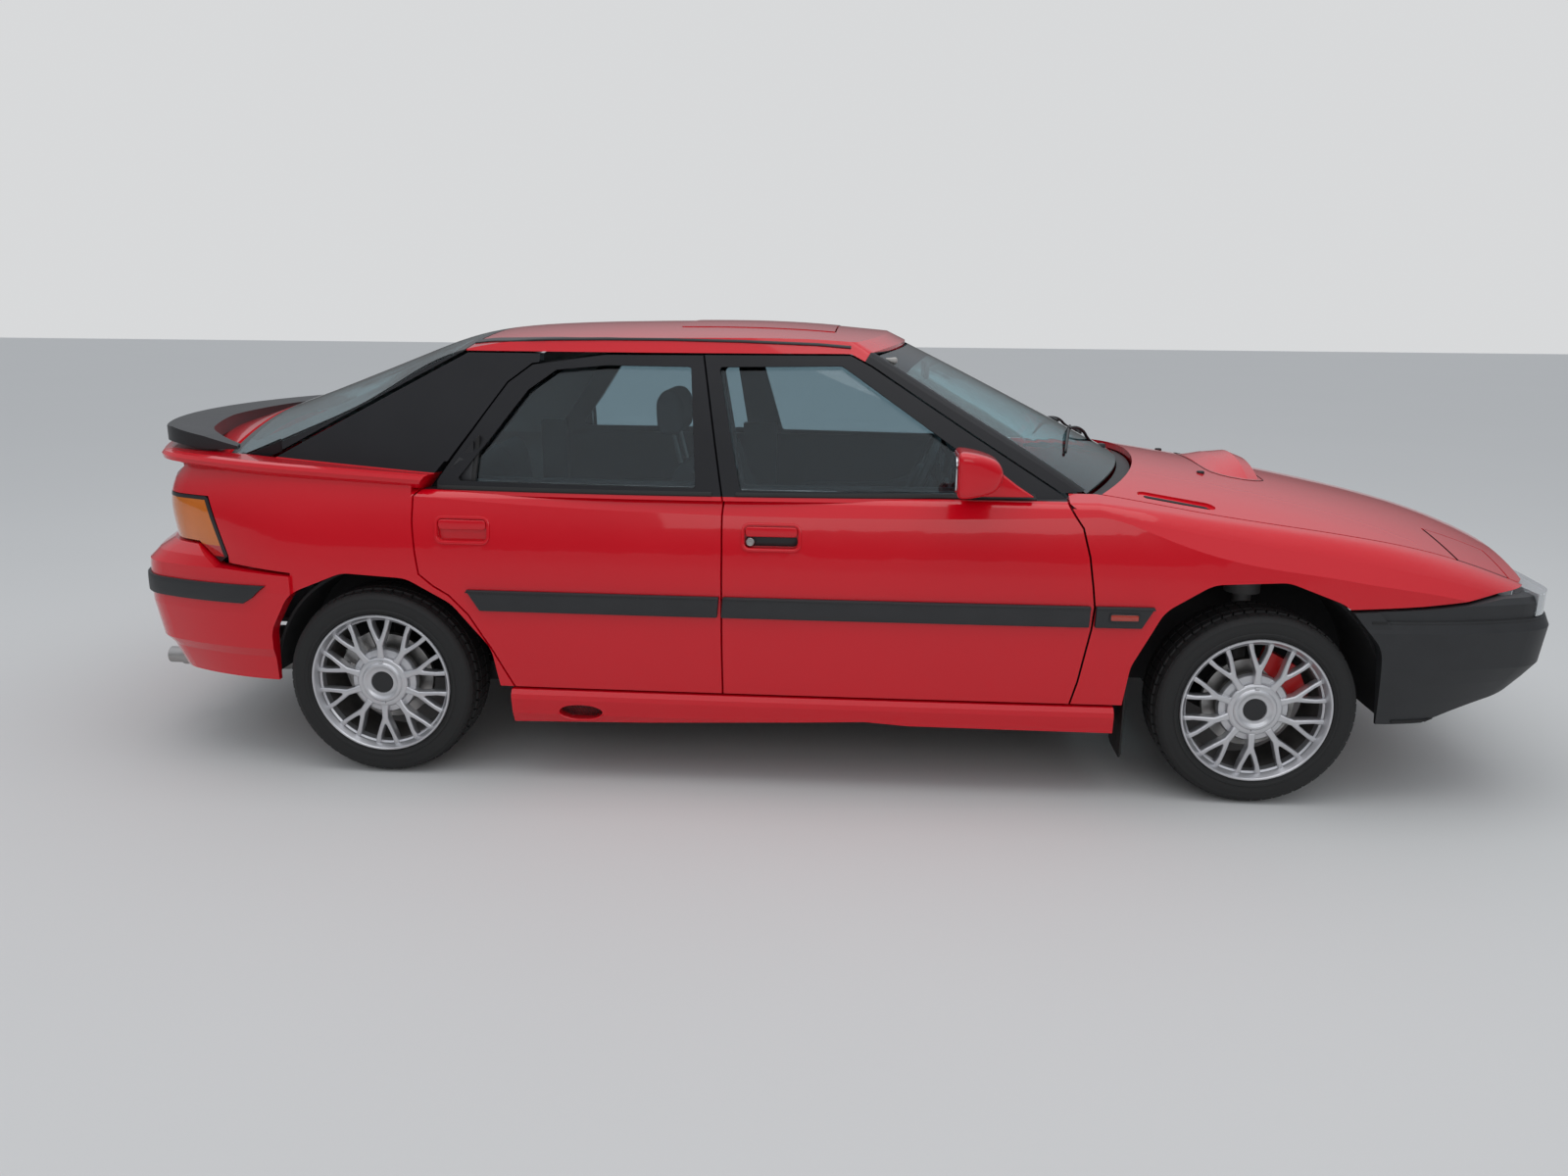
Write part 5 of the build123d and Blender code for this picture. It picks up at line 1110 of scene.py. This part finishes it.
def foamPad(name, blocks, cap, voxel):
    parts = [prism(name, outline, y0, y1, bevel=0.014, segments=3) for outline, y0, y1 in blocks]
    pad = joined(name, parts) if len(parts) > 1 else parts[0]
    applyModifier(pad, "REMESH", mode="VOXEL", voxel_size=voxel)
    before = [vertex.co.copy() for vertex in pad.data.vertices]
    pick(pad)
    cloth = pad.modifiers.new("fill", "CLOTH")
    cloth.settings.use_pressure = True
    cloth.settings.uniform_pressure_force = seat["pressure"]
    cloth.settings.effector_weights.gravity = 0
    cloth.settings.quality = 4
    cloth.point_cache.frame_end = seat["frames"]
    for step in range(1, seat["frames"] + 1):
        bpy.context.scene.frame_set(step)
    bpy.ops.object.modifier_apply(modifier=cloth.name)
    bpy.context.scene.frame_set(1)
    for vertex, start in zip(pad.data.vertices, before):
        move = vertex.co - start
        if move.length > cap:
            vertex.co = start + move * (cap / move.length)
    applyModifier(pad, "SMOOTH", factor=0.5, iterations=4)
    return pad


# Presses channels that run at a distance to each side of the seat's middle, between two x values.
def channelled(pad, lines, into):
    for vertex in pad.data.vertices:
        for at, low, high in lines:
            gap = abs(abs(vertex.co.y - seat["middle"]) - at)
            if low <= vertex.co.x <= high and gap < seat["channel"]:
                vertex.co -= Vector(into) * seat["channelDeep"] * (1 - gap / seat["channel"]) ** 2


def dressPad(pad, twin=None):
    applyModifier(pad, "SUBSURF", levels=1, render_levels=1)
    onBody(pad, "cloth", "grey_cloth", twin, smooth=80, replaced=["seats"])


middle = seat["middle"]
sides = [(middle - 0.212, middle - 0.142), (middle + 0.142, middle + 0.212)]


def frontPad(name, centreOutline, sideOutline, lines, into):
    blocks = [(centreOutline, middle - 0.15, middle + 0.15)] + [(sideOutline, y0, y1) for y0, y1 in sides]
    pad = foamPad(name, blocks, seat["cap"], seat["voxel"])
    channelled(pad, lines, into)
    dressPad(pad, name + "Left")


frontPad("frontCushion",
         [(-0.17, 0.30), (-0.17, 0.39), (0.1, 0.405), (0.215, 0.402), (0.248, 0.35), (0.235, 0.30)],
         [(-0.16, 0.29), (-0.15, 0.405), (0.08, 0.428), (0.2, 0.415), (0.232, 0.35), (0.225, 0.29)],
         [(seat["rail"], -1, 1), (seat["flute"], -0.1, 0.2)], (0, 0, 1))
frontPad("frontBack",
         [(-0.20, 0.40), (-0.285, 0.40), (-0.43, 0.85), (-0.42, 0.895), (-0.392, 0.915), (-0.358, 0.9),
          (-0.34, 0.86)],
         [(-0.155, 0.42), (-0.27, 0.42), (-0.41, 0.78), (-0.335, 0.79), (-0.265, 0.66)],
         [(seat["rail"], -1, 1), (seat["flute"], -1, 1)], (1, 0, 0.3))
headOutline = [(-0.468, 0.98), (-0.472, 1.08), (-0.452, 1.112), (-0.418, 1.115), (-0.392, 1.09), (-0.39, 1.0),
               (-0.405, 0.978)]
head = foamPad("frontHeadrest", [(headOutline, middle - headrest["half"], middle + headrest["half"])],
               headrest["cap"], headrest["voxel"])
dressPad(head, "frontHeadrestLeft")
for number, y in enumerate((middle - 0.06, middle + 0.06)):
    post = rod("headrestPost%d" % number, [(-0.405, y, 0.89), (-0.43, y, 0.995)], 0.0062)
    onBody(post, "steel", "bare_steel", "headrestPostLeft%d" % number)
base = prism("seatBase", [(-0.2, 0.255), (-0.15, 0.30), (0.22, 0.30), (0.245, 0.255)],
             middle - 0.19, middle + 0.19, bevel=0.01)
onBody(base, "trimBlack", "grey_plastic", "seatBaseLeft")

benchPads = {
    "benchCushion": [(-1.06, 0.35), (-1.06, 0.435), (-0.7, 0.452), (-0.625, 0.44), (-0.61, 0.39),
                     (-0.625, 0.35)],
    "benchBack": [(-1.075, 0.43), (-1.14, 0.43), (-1.225, 0.82), (-1.215, 0.865), (-1.185, 0.872),
                  (-1.155, 0.85)],
}
for name, outline in benchPads.items():
    pad = foamPad(name, [(outline, -bench["half"], bench["half"])], bench["cap"], bench["voxel"])
    for vertex in pad.data.vertices:
        gap = min(abs(vertex.co.y - at) for at in bench["channels"])
        if gap < bench["channel"]:
            vertex.co += Vector((-0.008, 0, -0.006)) * (1 - gap / bench["channel"]) ** 2
    dressPad(pad)
print("seats")
